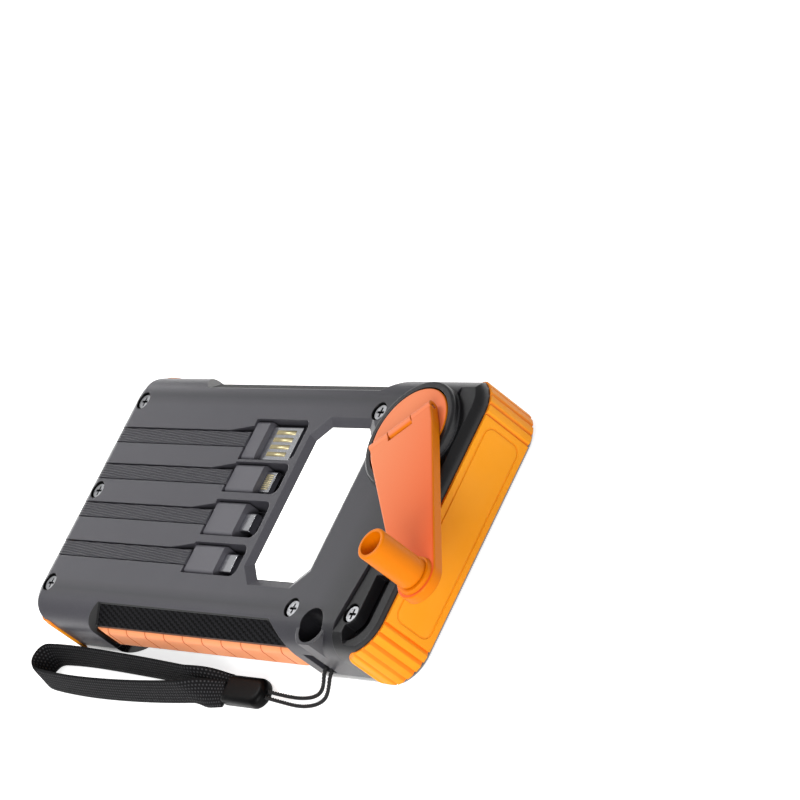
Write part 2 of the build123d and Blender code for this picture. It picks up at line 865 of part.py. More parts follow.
with BuildPart() as strap_side_strip:
    add(strip_blanks[-1])
    add(strip_lines_and_ramps(-1), mode=Mode.SUBTRACT)
save(strap_side_strip, "strap_side_strip")

flap_back_y = strip_face - flap_thickness
with BuildPart() as port_side_strip:
    add(strip_blanks[1])
    add(strip_lines_and_ramps(1), mode=Mode.SUBTRACT)
    add(port_side_holes.part, mode=Mode.SUBTRACT)
    with BuildSketch(Plane.XZ.offset(-flap_back_y + flap_gap)):
        with Locations(((flap_start_x + flap_gap + strip_low_x - 1) / 2, mid_height)):
            Rectangle(flap_start_x + flap_gap - strip_low_x + 1, strip_height + 2)
    extrude(amount=-body_width, mode=Mode.SUBTRACT)
save(port_side_strip, "port_side_strip")

# ---------------------------------------------------------------- port side: flap, button and lights
flap_axis_x = flap_start_x - flap_thickness / 2
flap_axis_y = strip_face - flap_thickness / 2
with BuildPart() as port_cover:
    with BuildSketch(Plane.XY.offset(strip_low + flap_gap)):
        with Locations(((flap_axis_x + flap_end_x) / 2, flap_axis_y)):
            Rectangle(flap_axis_x - flap_end_x, flap_thickness)
        with Locations((flap_axis_x, flap_axis_y)):
            Circle(flap_thickness / 2)
    extrude(amount=strip_height - 2 * flap_gap)
    # finger tab: the free end curls a little away from the strip
    with BuildSketch(Plane.XY.offset(strip_low + flap_gap + 1)):
        with BuildLine():
            Polyline(
                (flap_end_x + flap_tab_length, strip_face - 0.1),
                (flap_end_x + flap_tab_length, strip_face),
                (flap_end_x, strip_face + 0.5),
                (flap_end_x - 1, strip_face + 0.5),
                (flap_end_x - 1, strip_face - flap_thickness + 0.5),
                (flap_end_x, strip_face - flap_thickness + 0.1),
                close=True,
            )
        make_face()
    extrude(amount=strip_height - 2 * flap_gap - 2)
    with BuildSketch(Plane.XY.offset(strip_low)):
        with Locations((flap_axis_x - 1.5, strip_face)):
            Rectangle(strip_line_width, 2 * strip_line_depth)
    extrude(amount=strip_height, mode=Mode.SUBTRACT)
save(port_cover, "port_cover")

button_back_y = board_edge_y + 1.7 + button_travel
with BuildPart() as power_button:
    with BuildSketch(Plane.XZ.offset(-strip_face - button_proud)):
        with Locations((button_x, mid_height)):
            RectangleRounded(button_length, button_height, 1.0)
    extrude(amount=strip_face + button_proud - button_back_y)
    fillet(power_button.faces().sort_by(Axis.Y)[-1].edges(), 0.3)
save(power_button, "power_button")

with BuildPart() as tact_switch:
    with BuildSketch(Plane.XY.offset(board_top)):
        with Locations((button_x, board_edge_y - switch_size / 2)):
            Rectangle(switch_size, switch_size)
    extrude(amount=switch_height)
    with BuildSketch(Plane.XZ.offset(-board_edge_y)):
        with Locations((button_x, mid_height)):
            Circle(1.4)
    extrude(amount=-(button_back_y - button_travel - 0.1 - board_edge_y))
save(tact_switch, "tact_switch")

with BuildPart() as level_lights:
    with BuildSketch(Plane.XZ.offset(-strip_face)):
        for x, radius in zip(light_positions, light_radii):
            with Locations((x, mid_height)):
                Circle(radius)
    extrude(amount=strip_face - board_edge_y - 0.4)
save(level_lights, "level_lights")

with BuildPart() as charge_light:
    with BuildSketch(Plane.XZ.offset(-strip_face)):
        with Locations((charge_light_x, mid_height)):
            Circle(charge_light_radius)
    extrude(amount=strip_face - board_edge_y - 0.4)
save(charge_light, "charge_light")

# ---------------------------------------------------------------- main board with its sockets, battery
with BuildPart() as main_board:
    with BuildSketch(Plane.XY.offset(board_height)):
        with Locations(((board_low_x + board_high_x) / 2, (board_inner_y + board_edge_y) / 2)):
            Rectangle(board_high_x - board_low_x, board_edge_y - board_inner_y)
        with Locations(cover_screw_spots[0]):
            Circle(screw_shank_radius + 2.0, mode=Mode.SUBTRACT)
    extrude(amount=board_thickness)
save(main_board, "main_board")


def socket(x, width, height, length, corner):
    """An open-fronted metal socket on the board's edge, with its tongue inside."""
    front_y = flap_back_y - 2 * flap_gap
    with BuildPart() as shell:
        with BuildSketch(Plane.XZ.offset(-front_y)):
            with Locations((x, board_top + height / 2)):
                RectangleRounded(width, height, corner)
        extrude(amount=length)
        with BuildSketch(Plane.XZ.offset(-front_y)):
            with Locations((x, board_top + height / 2)):
                RectangleRounded(width - 2 * port_shell, height - 2 * port_shell, corner - port_shell / 2)
        extrude(amount=length - 1.0, mode=Mode.SUBTRACT)
        with BuildSketch(Plane.XZ.offset(-front_y + 0.8)):
            with Locations((x, board_top + height / 2)):
                Rectangle(width - 2.4, height * 0.26)
        extrude(amount=length - 1.0)
    return shell


save(socket(wide_port_x, wide_port_width, wide_port_height, wide_port_length, 0.6), "wide_socket")
save(socket(small_port_x, small_port_width, small_port_height, small_port_length, 1.4), "small_socket")

with BuildPart() as battery_cells:
    for row in range(2):
        centre_y = battery_edge_y + battery_width / 2 + row * (battery_width + battery_gap)
        with BuildSketch(Plane.XY.offset(frame_floor_top)):
            with Locations((battery_start_x + battery_length / 2, centre_y)):
                RectangleRounded(battery_length, battery_width, 1.5)
        extrude(amount=battery_height)
save(battery_cells, "battery_cells")

# ---------------------------------------------------------------- area lamp
with BuildPart() as lamp_lens:
    with BuildSketch(Plane.XY.offset(lamp_bottom)):
        Polygon(*lamp_outline(0.0), align=None)
    extrude(amount=lamp_thickness)
save(lamp_lens, "lamp_lens")

with BuildPart() as led_board:
    with BuildSketch(Plane.XY.offset(cavity_top - led_board_thickness)):
        Polygon(*lamp_outline(led_board_margin), align=None)
    extrude(amount=led_board_thickness)
save(led_board, "led_board")

with BuildPart() as led_chips:
    with BuildSketch(Plane.XY.offset(cavity_top)):
        with Locations(((lamp_low_x + lamp_high_x) / 2, 0)):
            with GridLocations(led_pitch_x, led_pitch_y, led_rows, led_columns):
                Rectangle(led_size, led_size)
    extrude(amount=led_height)
save(led_chips, "led_chips")

# ---------------------------------------------------------------- screws, one group
with BuildPart() as cover_screws:
    for (x, y), seat in [*[(spot, screw_seat) for spot in screw_spots], (housing_screw, screw_seat - housing_drop)]:
        with BuildSketch(Plane.XY.offset(seat)):
            with Locations((x, y)):
                Circle(screw_head_radius)
        extrude(amount=screw_head_height)
        with BuildSketch(Plane.XY.offset(seat)):
            with Locations((x, y)):
                Circle(screw_shank_radius - running_gap)
        extrude(amount=-screw_shank_length)
        with BuildSketch(Plane.XY.offset(seat + screw_head_height)):
            with Locations((x, y)):
                Rectangle(screw_head_radius * 1.3, slot_width)
                Rectangle(slot_width, screw_head_radius * 1.3)
        extrude(amount=-slot_depth, mode=Mode.SUBTRACT)
save(cover_screws, "cover_screws")

# ---------------------------------------------------------------- crank: rotor, shaft, hinge pin
hub_plane = Plane(
    origin=(hub_x, hub_y, 0), x_dir=(arm_heading.X, arm_heading.Y, 0), z_dir=(0, 0, 1)
)
pin_plane = Plane(
    origin=(hub_x, hub_y, pin_height), x_dir=(arm_heading.X, arm_heading.Y, 0), z_dir=(-arm_heading.Y, arm_heading.X, 0)
)
with BuildPart() as crank_rotor:
    with BuildSketch(hub_plane.offset(rotor_low)):
        Circle(rotor_radius)
    extrude(amount=rotor_thickness)
    fillet(crank_rotor.faces().sort_by(Axis.Z)[-1].edges(), 0.5)
    with BuildSketch(hub_plane.offset(rotor_high - 0.5)):
        Rectangle(2 * knuckle_radius, lug_width)
    extrude(amount=pin_height - rotor_high + 0.5)
    with BuildSketch(pin_plane.offset(-lug_width / 2)):
        Circle(knuckle_radius)
    extrude(amount=lug_width)
    with BuildSketch(pin_plane.offset(-lug_width)):
        Circle(hinge_pin_radius)
    extrude(amount=2 * lug_width, mode=Mode.SUBTRACT)
save(crank_rotor, "crank_rotor")

with BuildPart() as hinge_pin:
    with BuildSketch(pin_plane.offset(-arm_root_half_width + 0.3)):
        Circle(hinge_pin_radius)
    extrude(amount=2 * arm_root_half_width - 0.6)
save(hinge_pin, "hinge_pin")

with BuildPart() as crank_arm:
    with BuildSketch(hub_plane.offset(arm_low)):
        with Locations((arm_tip_radius / 2, 0)):
            Rectangle(arm_tip_radius, 2 * arm_root_half_width)
        with Locations((arm_reach, 0)):
            Circle(arm_tip_radius)
        make_hull()
    extrude(amount=arm_thickness)
    with BuildSketch(hub_plane.offset(arm_low - 1)):
        Rectangle(2 * knuckle_clear, lug_width + 0.6)
    extrude(amount=arm_thickness + 2, mode=Mode.SUBTRACT)
    fillet(crank_arm.faces().sort_by(Axis.Z)[-1].edges().filter_by(GeomType.CIRCLE), 0.6)
    with BuildSketch(pin_plane.offset(-arm_root_half_width)):
        Circle(knuckle_radius)
    extrude(amount=2 * arm_root_half_width)
    with BuildSketch(hub_plane.offset(arm_low - 1)):
        Rectangle(2 * knuckle_radius + 0.1, lug_width + 0.6)
    extrude(amount=arm_thickness + 2, mode=Mode.SUBTRACT)
    with BuildSketch(pin_plane.offset(-arm_root_half_width - 1)):
        Circle(hinge_pin_radius + running_gap)
    extrude(amount=2 * arm_root_half_width + 2, mode=Mode.SUBTRACT)
    with BuildSketch(hub_plane.offset(arm_high - 0.5)):
        with Locations((arm_reach, 0)):
            Circle(boss_ring_radius)
    extrude(amount=boss_ring_height + 0.5, taper=12)
    with BuildSketch(hub_plane.offset(arm_low - 1)):
        with Locations((arm_reach, 0)):
            Circle(spindle_radius)
    extrude(amount=arm_thickness + 5, mode=Mode.SUBTRACT)
save(crank_arm, "crank_arm")

handle_low = arm_high + boss_ring_height + fit_gap
with BuildPart() as handle_spindle:
    with BuildSketch(hub_plane.offset(arm_low + 0.2)):
        with Locations((arm_reach, 0)):
            Circle(spindle_radius)
    extrude(amount=handle_low + handle_floor + fit_gap - arm_low - 0.2)
    with BuildSketch(hub_plane.offset(handle_low + handle_floor + fit_gap)):
        with Locations((arm_reach, 0)):
            Circle(spindle_head_radius)
    extrude(amount=spindle_head_height)
save(handle_spindle, "handle_spindle")

with BuildPart() as handle_grip:
    with BuildSketch(hub_plane.offset(handle_low)):
        with Locations((arm_reach, 0)):
            Circle(handle_radius)
    extrude(amount=handle_length)
    fillet(handle_grip.faces().sort_by(Axis.Z)[-1].edges(), 0.5)
    with BuildSketch(hub_plane.offset(handle_low + handle_floor)):
        with Locations((arm_reach, 0)):
            Circle(handle_bore_radius)
    extrude(amount=handle_length, mode=Mode.SUBTRACT)
    with BuildSketch(hub_plane.offset(handle_low - 1)):
        with Locations((arm_reach, 0)):
            Circle(spindle_radius + running_gap)
    extrude(amount=handle_floor + 2, mode=Mode.SUBTRACT)
save(handle_grip, "handle_grip")

with BuildPart() as crank_shaft:
    with BuildSketch(Plane.XY.offset(high_gear_z - 0.6)):
        with Locations((hub_x, hub_y)):
            Circle(crank_shaft_radius)
    extrude(amount=rotor_low - high_gear_z + 0.6)
    with BuildSketch(Plane.XY.offset(frame_floor_top + 0.2)):
        with Locations((hub_x, hub_y)):
            Circle(crank_pivot_radius)
    extrude(amount=high_gear_z - 0.6 - frame_floor_top - 0.2)
save(crank_shaft, "crank_shaft")

with BuildPart() as hub_bush:
    with BuildSketch(Plane.XY.offset(boss_bottom)):
        with Locations((hub_x, hub_y)):
            Circle(bush_radius)
            Circle(crank_shaft_radius + running_gap, mode=Mode.SUBTRACT)
    extrude(amount=well_floor - boss_bottom)
save(hub_bush, "hub_bush")


# ---------------------------------------------------------------- gear train and generator
def gear_outline(teeth, tooth_angle):
    """Points round an involute gear, with one tooth centred on an angle in degrees."""
    pitch_radius = gear_module * teeth / 2
    base_radius = pitch_radius * math.cos(math.radians(pressure_angle))
    tip_radius = pitch_radius + tooth_addendum * gear_module
    root_radius = pitch_radius - tooth_dedendum * gear_module
    half_tooth = math.pi / (2 * teeth) - tooth_thinning / (2 * pitch_radius)
    flank_spread = math.tan(math.radians(pressure_angle)) - math.radians(pressure_angle)
    start_radius = max(base_radius, root_radius)
    points = []
    for tooth in range(teeth):
        centre = math.radians(tooth_angle) + 2 * math.pi * tooth / teeth
        flank = []
        for step in range(5):
            radius = start_radius + (tip_radius - start_radius) * step / 4
            roll = math.acos(min(1.0, base_radius / radius))
            flank.append((radius, half_tooth + flank_spread - (math.tan(roll) - roll)))
        if root_radius < start_radius:
            flank.insert(0, (root_radius, flank[0][1]))
        for radius, away in flank:
            points.append((radius * math.cos(centre - away), radius * math.sin(centre - away)))
        for radius, away in reversed(flank):
            points.append((radius * math.cos(centre + away), radius * math.sin(centre + away)))
    return points


drive_gear_z = high_gear_z
with BuildPart() as drive_gear:
    with BuildSketch(Plane.XY.offset(drive_gear_z)):
        with Locations((hub_x, hub_y)):
            Polygon(*gear_outline(gear_teeth, train_angle_1), align=None)
            Circle(crank_shaft_radius, mode=Mode.SUBTRACT)
    extrude(amount=gear_face)
save(drive_gear, "drive_gear")

pinion_gap_turn = 180.0 / pinion_teeth
with BuildPart() as compound_gear:
    with BuildSketch(Plane.XY.offset(low_gear_z)):
        with Locations((compound_spot.X, compound_spot.Y)):
            Polygon(*gear_outline(gear_teeth, train_angle_2), align=None)
    extrude(amount=gear_face)
    with BuildSketch(Plane.XY.offset(low_gear_z)):
        with Locations((compound_spot.X, compound_spot.Y)):
            Polygon(*gear_outline(pinion_teeth, train_angle_1 + 180 + pinion_gap_turn), align=None)
    extrude(amount=high_gear_z + gear_face - low_gear_z)
    with BuildSketch(Plane.XY.offset(low_gear_z - 1)):
        with Locations((compound_spot.X, compound_spot.Y)):
            Circle(axle_radius + running_gap)
    extrude(amount=body_height, mode=Mode.SUBTRACT)
save(compound_gear, "compound_gear")

with BuildPart() as compound_axle:
    with BuildSketch(Plane.XY.offset(frame_floor_top)):
        with Locations((compound_spot.X, compound_spot.Y)):
            Circle(axle_radius)
    extrude(amount=high_gear_z + gear_face + fit_gap - frame_floor_top)
    with BuildSketch(Plane.XY.offset(high_gear_z + gear_face + fit_gap)):
        with Locations((compound_spot.X, compound_spot.Y)):
            Circle(axle_radius + 1.2)
    extrude(amount=0.6)
save(compound_axle, "compound_axle")

with BuildPart() as generator_rotor:
    with BuildSketch(Plane.XY.offset(low_gear_z - fit_gap)):
        with Locations((generator_spot.X, generator_spot.Y)):
            Polygon(*gear_outline(pinion_teeth, train_angle_2 + 180 + pinion_gap_turn), align=None)
    extrude(amount=gear_face + 2 * fit_gap)
    with BuildSketch(Plane.XY.offset(frame_floor_top + 0.2)):
        with Locations((generator_spot.X, generator_spot.Y)):
            Circle(generator_shaft_radius)
    extrude(amount=generator_low + 2.5 - frame_floor_top - 0.2)
save(generator_rotor, "generator_rotor")

stands = [
    generator_spot + Vector(stand_reach, 0).rotate(Axis.Z, angle) for angle in stand_angles
]
with BuildPart() as generator_can:
    with BuildSketch(Plane.XY.offset(generator_low)):
        with Locations((generator_spot.X, generator_spot.Y)):
            Circle(generator_radius)
    extrude(amount=generator_high - generator_low)
    fillet(generator_can.faces().sort_by(Axis.Z)[-1].edges(), 1.0)
    with BuildSketch(Plane.XY.offset(generator_low)):
        with Locations((generator_spot.X, generator_spot.Y)):
            Circle(generator_shaft_radius + running_gap)
    extrude(amount=3.0, mode=Mode.SUBTRACT)
save(generator_can, "generator_can")

plate_low_x, plate_high_x = hub_x - plate_reach_in, hub_x + plate_reach_out
plate_low_y, plate_high_y = hub_y - plate_reach_down, hub_y + plate_reach_up
with BuildPart() as gear_plate:
    with BuildSketch(Plane.XY.offset(frame_floor_top)):
        with Locations(((plate_low_x + plate_high_x) / 2, (plate_low_y + plate_high_y) / 2)):
            RectangleRounded(plate_high_x - plate_low_x, plate_high_y - plate_low_y, 3.0)
        with Locations((hub_x, hub_y)):
            Circle(crank_pivot_radius + running_gap, mode=Mode.SUBTRACT)
        with Locations((compound_spot.X, compound_spot.Y)):
            Circle(axle_radius, mode=Mode.SUBTRACT)
        with Locations((generator_spot.X, generator_spot.Y)):
            Circle(generator_shaft_radius + running_gap, mode=Mode.SUBTRACT)
    extrude(amount=plate_thickness)
    with BuildSketch(Plane.XY.offset(frame_floor_top + plate_thickness)):
        with Locations(*[(stand.X, stand.Y) for stand in stands]):
            Circle(stand_radius)
    extrude(amount=generator_low - frame_floor_top - plate_thickness)
save(gear_plate, "gear_plate")

# ---------------------------------------------------------------- captive leads and their plugs
lead_outer = top_edge_radius - body_height + lead_top
lead_inner = lead_outer - lead_thickness
lead_root_end = lead_hinge_x - lead_thickness / 2 - 2 * running_gap - fit_gap


def lead_ribs(y):
    """The fine grooves along a flat lead's upper face."""
    with BuildPart() as grooves:
        with BuildSketch(Plane.XY.offset(lead_top - lead_rib_depth)):
            with Locations(((lead_hinge_x + lead_end) / 2, y)):
                with GridLocations(1, lead_rib_pitch, 1, lead_rib_count):
                    Rectangle(lead_end - lead_hinge_x - 2 * lead_thickness, lead_rib_depth)
        extrude(amount=1)
    return grooves.part


with BuildPart() as lead_roots:
    for y in lead_centres:
        add(lead_path_cut(y, lead_width, lead_outer, lead_inner, lead_root_end))
save(lead_roots, "lead_roots")

plug_mid_z = body_height - plug_top_drop - plug_thickness / 2
for index, y in enumerate(lead_centres):
    body_wide, body_long, tongue_wide, tongue_long, tongue_thick, _ = plug_sizes[index]
    number = index + 1
    with BuildPart() as lead:
        with BuildSketch(Plane.XZ.offset(-y - lead_width / 2)):
            with Locations(((lead_hinge_x + lead_end) / 2, lead_axis_z)):
                Rectangle(lead_end - lead_hinge_x, lead_thickness)
            with Locations((lead_hinge_x, lead_axis_z)):
                Circle(lead_thickness / 2)
        extrude(amount=lead_width)
        add(lead_ribs(y), mode=Mode.SUBTRACT)
    save(lead, f"lead_{number}")

    with BuildPart() as plug_body:
        with BuildSketch(Plane.YZ.offset(lead_end)):
            with Locations((y, plug_mid_z)):
                RectangleRounded(body_wide, plug_thickness, plug_corner)
        extrude(amount=body_long)
        # the neck that the lead runs into, slightly waisted
        chamfer(plug_body.faces().sort_by(Axis.X)[0].edges(), 0.5)
    save(plug_body, f"plug_body_{number}")

    with BuildPart() as plug_tongue:
        start = lead_end + body_long
        with BuildSketch(Plane.YZ.offset(start)):
            with Locations((y, plug_mid_z)):
                RectangleRounded(tongue_wide, tongue_thick, tongue_thick * 0.3)
        extrude(amount=tongue_long)
    save(plug_tongue, f"plug_tongue_{number}")

# ---------------------------------------------------------------- wrist strap
with BuildPart() as strap_post:
    with BuildSketch(Plane.XY.offset(strip_low)):
        with Locations((post_x, post_y)):
            Circle(post_radius)
    extrude(amount=strip_height)
save(strap_post, "strap_post")


def arc_radii(points, first=()):
    """Each corner's radius: 0.45 of its shorter run over the tangent of half the turn."""
    radii = []
    for before, corner, after in zip(points, points[1:], points[2:]):
        run_in = Vector(*corner) - Vector(*before)
        run_out = Vector(*after) - Vector(*corner)
        half_turn = math.radians(run_in.get_angle(run_out) / 2)
        radii.append(0.45 * min(run_in.length, run_out.length) / math.tan(half_turn))
    return [*first, *radii[len(first):]]


hitch_radius = post_radius + cord_radius
hitch_y = post_y + hitch_radius
hitch_start_y = post_y - 0.5
hitch_low_x = post_x - hitch_radius - 0.1
hitch_high_x = post_x + hitch_radius + 0.1
hitch_z = strip_low + 1.3
cord_routes = {
    "strap_cord_1": [
        (hitch_low_x, hitch_start_y, hitch_z),
        (hitch_low_x, hitch_y, hitch_z),
        (hitch_high_x, hitch_y, hitch_z),
        (hitch_high_x, hitch_y - 4.1, hitch_z),
        (52.4, -46.6, 5.8),
        (48.6, -48.2, 2.9),
        (43.4, -49.4, 1.2),
        (36.4, -50.2, 0.7),
        (29.2, -50.0, 1.5),
        (clasp_right_x + 0.1, clasp_y - 0.9, clasp_height / 2),
    ],
    "strap_cord_2": [
        (hitch_low_x, hitch_start_y, hitch_z),
        (hitch_low_x, hitch_y - 3.7, hitch_z),
        (49.4, -45.2, 6.0),
        (45.6, -46.4, 3.0),
        (40.8, -47.2, 1.2),
        (34.8, -47.8, 0.7),
        (28.6, -48.0, 1.5),
        (clasp_right_x + 0.1, clasp_y + 0.9, clasp_height / 2),
    ],
}
for name, points in cord_routes.items():
    hitch_arcs = (hitch_radius, hitch_radius) if name == "strap_cord_1" else ()
    radii = arc_radii(points, hitch_arcs)
    with BuildPart() as strand:
        with BuildLine():
            path = FilletPolyline(*points, radius=radii)
        with BuildSketch(Plane(origin=path @ 0, z_dir=path % 0)):
            Circle(cord_radius)
        sweep()
    save(strand, name)
    section = math.pi * cord_radius**2
    fill = strand.part.volume / (section * path.length)
    print(name, "length", round(path.length, 1), "volume over section times length", round(fill, 4))
    print("  radii", [round(radius, 1) for radius in radii])

with BuildPart() as strap_clasp:
    with BuildSketch(Plane.XY):
        with Locations((clasp_right_x - clasp_length / 2, clasp_y)):
            RectangleRounded(clasp_length, clasp_width, 1.6)
    extrude(amount=clasp_height)
    fillet(strap_clasp.edges().group_by(Axis.Z)[-1], 0.9)
save(strap_clasp, "strap_clasp")

webbing_start_x = clasp_right_x - clasp_length - 0.1
webbing_route = [
    (webbing_start_x, clasp_y - 1.6),
    (-9.0, -51.4),
    (-24.0, -52.8),
    (-42.0, -53.9),
    (-60.0, -54.4),
    (-73.0, -54.2),
    (-82.0, -53.8),
    (-87.75, -53.2),
    (-90.0, -49.4),
    (-87.75, -45.5),
    (-82.0, -45.1),
    (-70.0, -44.9),
    (-50.0, -45.4),
    (-32.0, -46.0),
    (-14.0, -46.8),
    (webbing_start_x, clasp_y + 1.0),
]
webbing_radii = arc_radii([(x, y, 0) for x, y in webbing_route])
with BuildPart() as strap_webbing:
    with BuildSketch(Plane.XY):
        with BuildLine():
            loop = FilletPolyline(*webbing_route, radius=webbing_radii)
        trace(line_width=webbing_thickness)
    extrude(amount=webbing_width)
save(strap_webbing, "strap_webbing")
print("strap_webbing length", round(loop.length, 1), "radii", [round(radius, 1) for radius in webbing_radii])
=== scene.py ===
"""Looks of a hand crank phone charger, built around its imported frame. Lengths are in millimetres
until MM turns them into metres."""

import json
import math

import bmesh
import bpy
from mathutils import Matrix, Vector

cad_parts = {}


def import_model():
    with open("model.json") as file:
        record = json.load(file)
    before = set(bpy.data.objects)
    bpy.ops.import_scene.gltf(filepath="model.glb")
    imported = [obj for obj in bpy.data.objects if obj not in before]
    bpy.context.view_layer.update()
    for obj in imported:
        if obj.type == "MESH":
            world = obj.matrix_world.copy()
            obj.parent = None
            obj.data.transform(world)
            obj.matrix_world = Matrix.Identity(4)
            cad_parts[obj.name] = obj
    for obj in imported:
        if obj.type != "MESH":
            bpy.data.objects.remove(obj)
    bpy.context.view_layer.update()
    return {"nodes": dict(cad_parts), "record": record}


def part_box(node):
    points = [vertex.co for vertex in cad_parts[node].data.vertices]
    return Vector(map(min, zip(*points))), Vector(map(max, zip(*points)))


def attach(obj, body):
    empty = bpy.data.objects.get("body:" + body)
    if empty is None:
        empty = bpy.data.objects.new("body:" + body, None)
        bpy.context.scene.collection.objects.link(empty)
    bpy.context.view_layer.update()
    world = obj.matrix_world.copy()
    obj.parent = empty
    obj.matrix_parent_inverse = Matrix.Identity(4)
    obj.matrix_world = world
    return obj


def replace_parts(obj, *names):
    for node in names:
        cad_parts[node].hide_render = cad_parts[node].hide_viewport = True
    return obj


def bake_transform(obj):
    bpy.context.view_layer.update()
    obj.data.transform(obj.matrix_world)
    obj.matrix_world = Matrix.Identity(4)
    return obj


MM = 0.001

# camera, fitted to the case corners in the photograph; its near and far ends are in metres
camera_place = Vector((877.83, -285.68, 564.05))
camera_aim = Vector((30.62, 39.51, 12.0))
camera_roll = -52.42
focal_pixels = 3851.9
frame_pixels = 800
sensor_width = 36.0
camera_near = 0.05
camera_far = 20.0

# studio: lamps as name, place, aim, width, height and watts
lamps = (
    ("key", (-320, 60, 620), (0, 0, 10), 260, 260, 2.3),
    ("fill", (430, -460, 380), (0, 0, 10), 400, 300, 3.6),
    ("tail", (-620, 110, 90), (-80, 0, 20), 420, 160, 0.9),
)
world_light = 0.42
floor_size = 4.0
floor_glow = 0.75

# looks that most finishes share
plain_specular = 0.35
bevel_samples = 4
fine_grain_scale = 3.0
fine_grain_depth = 0.012
coarse_grain_scale = 4.0
coarse_grain_depth = 0.02
# painted shade inside the screw wells
well_shade_black = (6, 6, 7)

# case sizes that the paint masks follow
body_length = 165.0
body_width = 85.0
body_height = 24.0
side_proud = 0.5
end_proud = 0.8
top_edge_radius = 4.5
side_top_radius = 8.5
corner_radius = 10.5
waist_half_length = 50.7
waist_shift = -3.8
waist_bevel_y = 36.0
bevel_stretch = 1.28
hub_x = 62.8
hub_y = 21.3
boss_radius = 16.5
stow_x = 57.8
stow_y = -36.4
stow_radius = 4.9
stow_mask_margin = 0.02
boss_mask_margin = 0.4
# painted shade along the cover's shoulders
shoulder_shade_y = 32.5
shoulder_shade_half_width = 1.6
shade_middle_x = 42.0
shade_length = 60.0
corner_shade_x = 61.0
corner_shade_length = 10.0
recess_depth = 0.12
recess_end_margin = 0.5
recess_side_margin = 0.3

# side strips
strip_line_pitch = 9.45
strip_line_half = 0.3
strip_lines_reach = 44.0
ridge_depth = 0.7

# woven trims
tow_width = 0.8

# solar cells
cell_line_pitch = 1.95
cell_line_share = 0.13
cell_gap_half = 1.15
cell_air = 0.08

# small flat bars
bar_edge_share = 0.3

# port flap
flap_thickness = 1.5
flap_taper = 0.27

# leads and plugs
lead_centres = (18.8, 6.5, -6.5, -19.5)
lead_ridge_pitch = 0.8
lead_ridge_height = 0.36
lead_ridge_power = 0.4
lead_edge_round = 0.35
lead_lift = 0.15
lead_ridge_drift = 0.085
lead_straight_x = -74.5
lead_columns = 56
lead_steps = 150
contact_count = 4
contact_low_x = -3.0
contact_length = 9.0
contact_width = 1.35
contact_pitch = 2.33
pin_count = 8
pin_pitch = 0.62
pin_width = 0.36
pin_length = 3.2
pin_end_gap = 1.0
contact_height = 0.14
contact_sink = 0.04

# button mark
button_x = 37.7
button_z = 12.0
mark_radius = 1.55
mark_line = 0.38
mark_gap_angle = 38.0
mark_height = 0.05
mark_sink = 0.02
mark_steps = 40
mark_bar_lift = 0.75
mark_bar_share = 1.1

# wrist strap
cord_diameter = 1.2
cord_1_route = (
    (51.1, -41.1, 8.7), (51.1, -39.2, 8.7), (54.1, -39.2, 8.7), (54.1, -43.3, 8.7),
    (52.4, -46.6, 5.8), (48.6, -48.2, 2.9), (43.4, -49.4, 1.2), (36.4, -50.2, 0.7),
    (29.2, -50.0, 1.5), (21.6, -49.5, 2.3),
)
cord_2_route = (
    (51.1, -41.1, 8.7), (51.1, -42.9, 8.7), (49.4, -45.2, 6.0), (45.6, -46.4, 3.0),
    (40.8, -47.2, 1.2), (34.8, -47.8, 0.7), (28.6, -48.0, 1.5), (21.6, -47.7, 2.3),
)
strand_count = 3
strand_lay = 3.2
strand_share = 0.27
strand_sides = 8
rope_steps = 110
route_resolution = 24
webbing_width = 9.4
webbing_thickness = 1.1
webbing_route = (
    (2.9, -50.2), (-9, -51.4), (-24, -52.8), (-42, -53.9), (-60, -54.4), (-73, -54.2),
    (-82, -53.8), (-87.75, -53.2), (-90, -49.4), (-87.75, -45.5), (-82, -45.1), (-70, -44.9),
    (-50, -45.4), (-32, -46.0), (-14, -46.8), (2.9, -47.6),
)
weave_pitch = 1.15
band_lean = 13.0
band_steps = 260
band_columns = 12
band_turn_length = 17.0
band_stack_share = 0.56
band_edge_power = 8
band_edge_least = 0.05
clasp_tilt = 74.0
clasp_squeeze = 0.8
clasp_nose = 0.85
clasp_round = 1.9
clasp_mouth_share = 0.9
clasp_mouth_length = 1.2
clasp_steps = 24
clasp_rows = 8

# screws
screw_spots = (
    (42.2, 28.8), (46.4, -32.0), (-75.2, 30.5), (-75.2, 0.0), (-75.2, -31.1), (71.6, -31.6),
)
screw_well_radius = 2.9
screw_head_top = 23.4
screw_cross_depth = 0.2
housing_screw_from = 66.0
housing_drop = 0.9

# crank
arm_top_z = 29.6
# where the painted highlight on the arm's top fades
lit_middle_x = 78.0
lit_length = 40.0


# ---------------------------------------------------------------- shader building


def srgb(red, green, blue):
    """Linear colour of a 0 to 255 screen colour."""
    def linear(value):
        value /= 255
        return value / 12.92 if value <= 0.04045 else ((value + 0.055) / 1.055) ** 2.4
    return linear(red), linear(green), linear(blue), 1.0


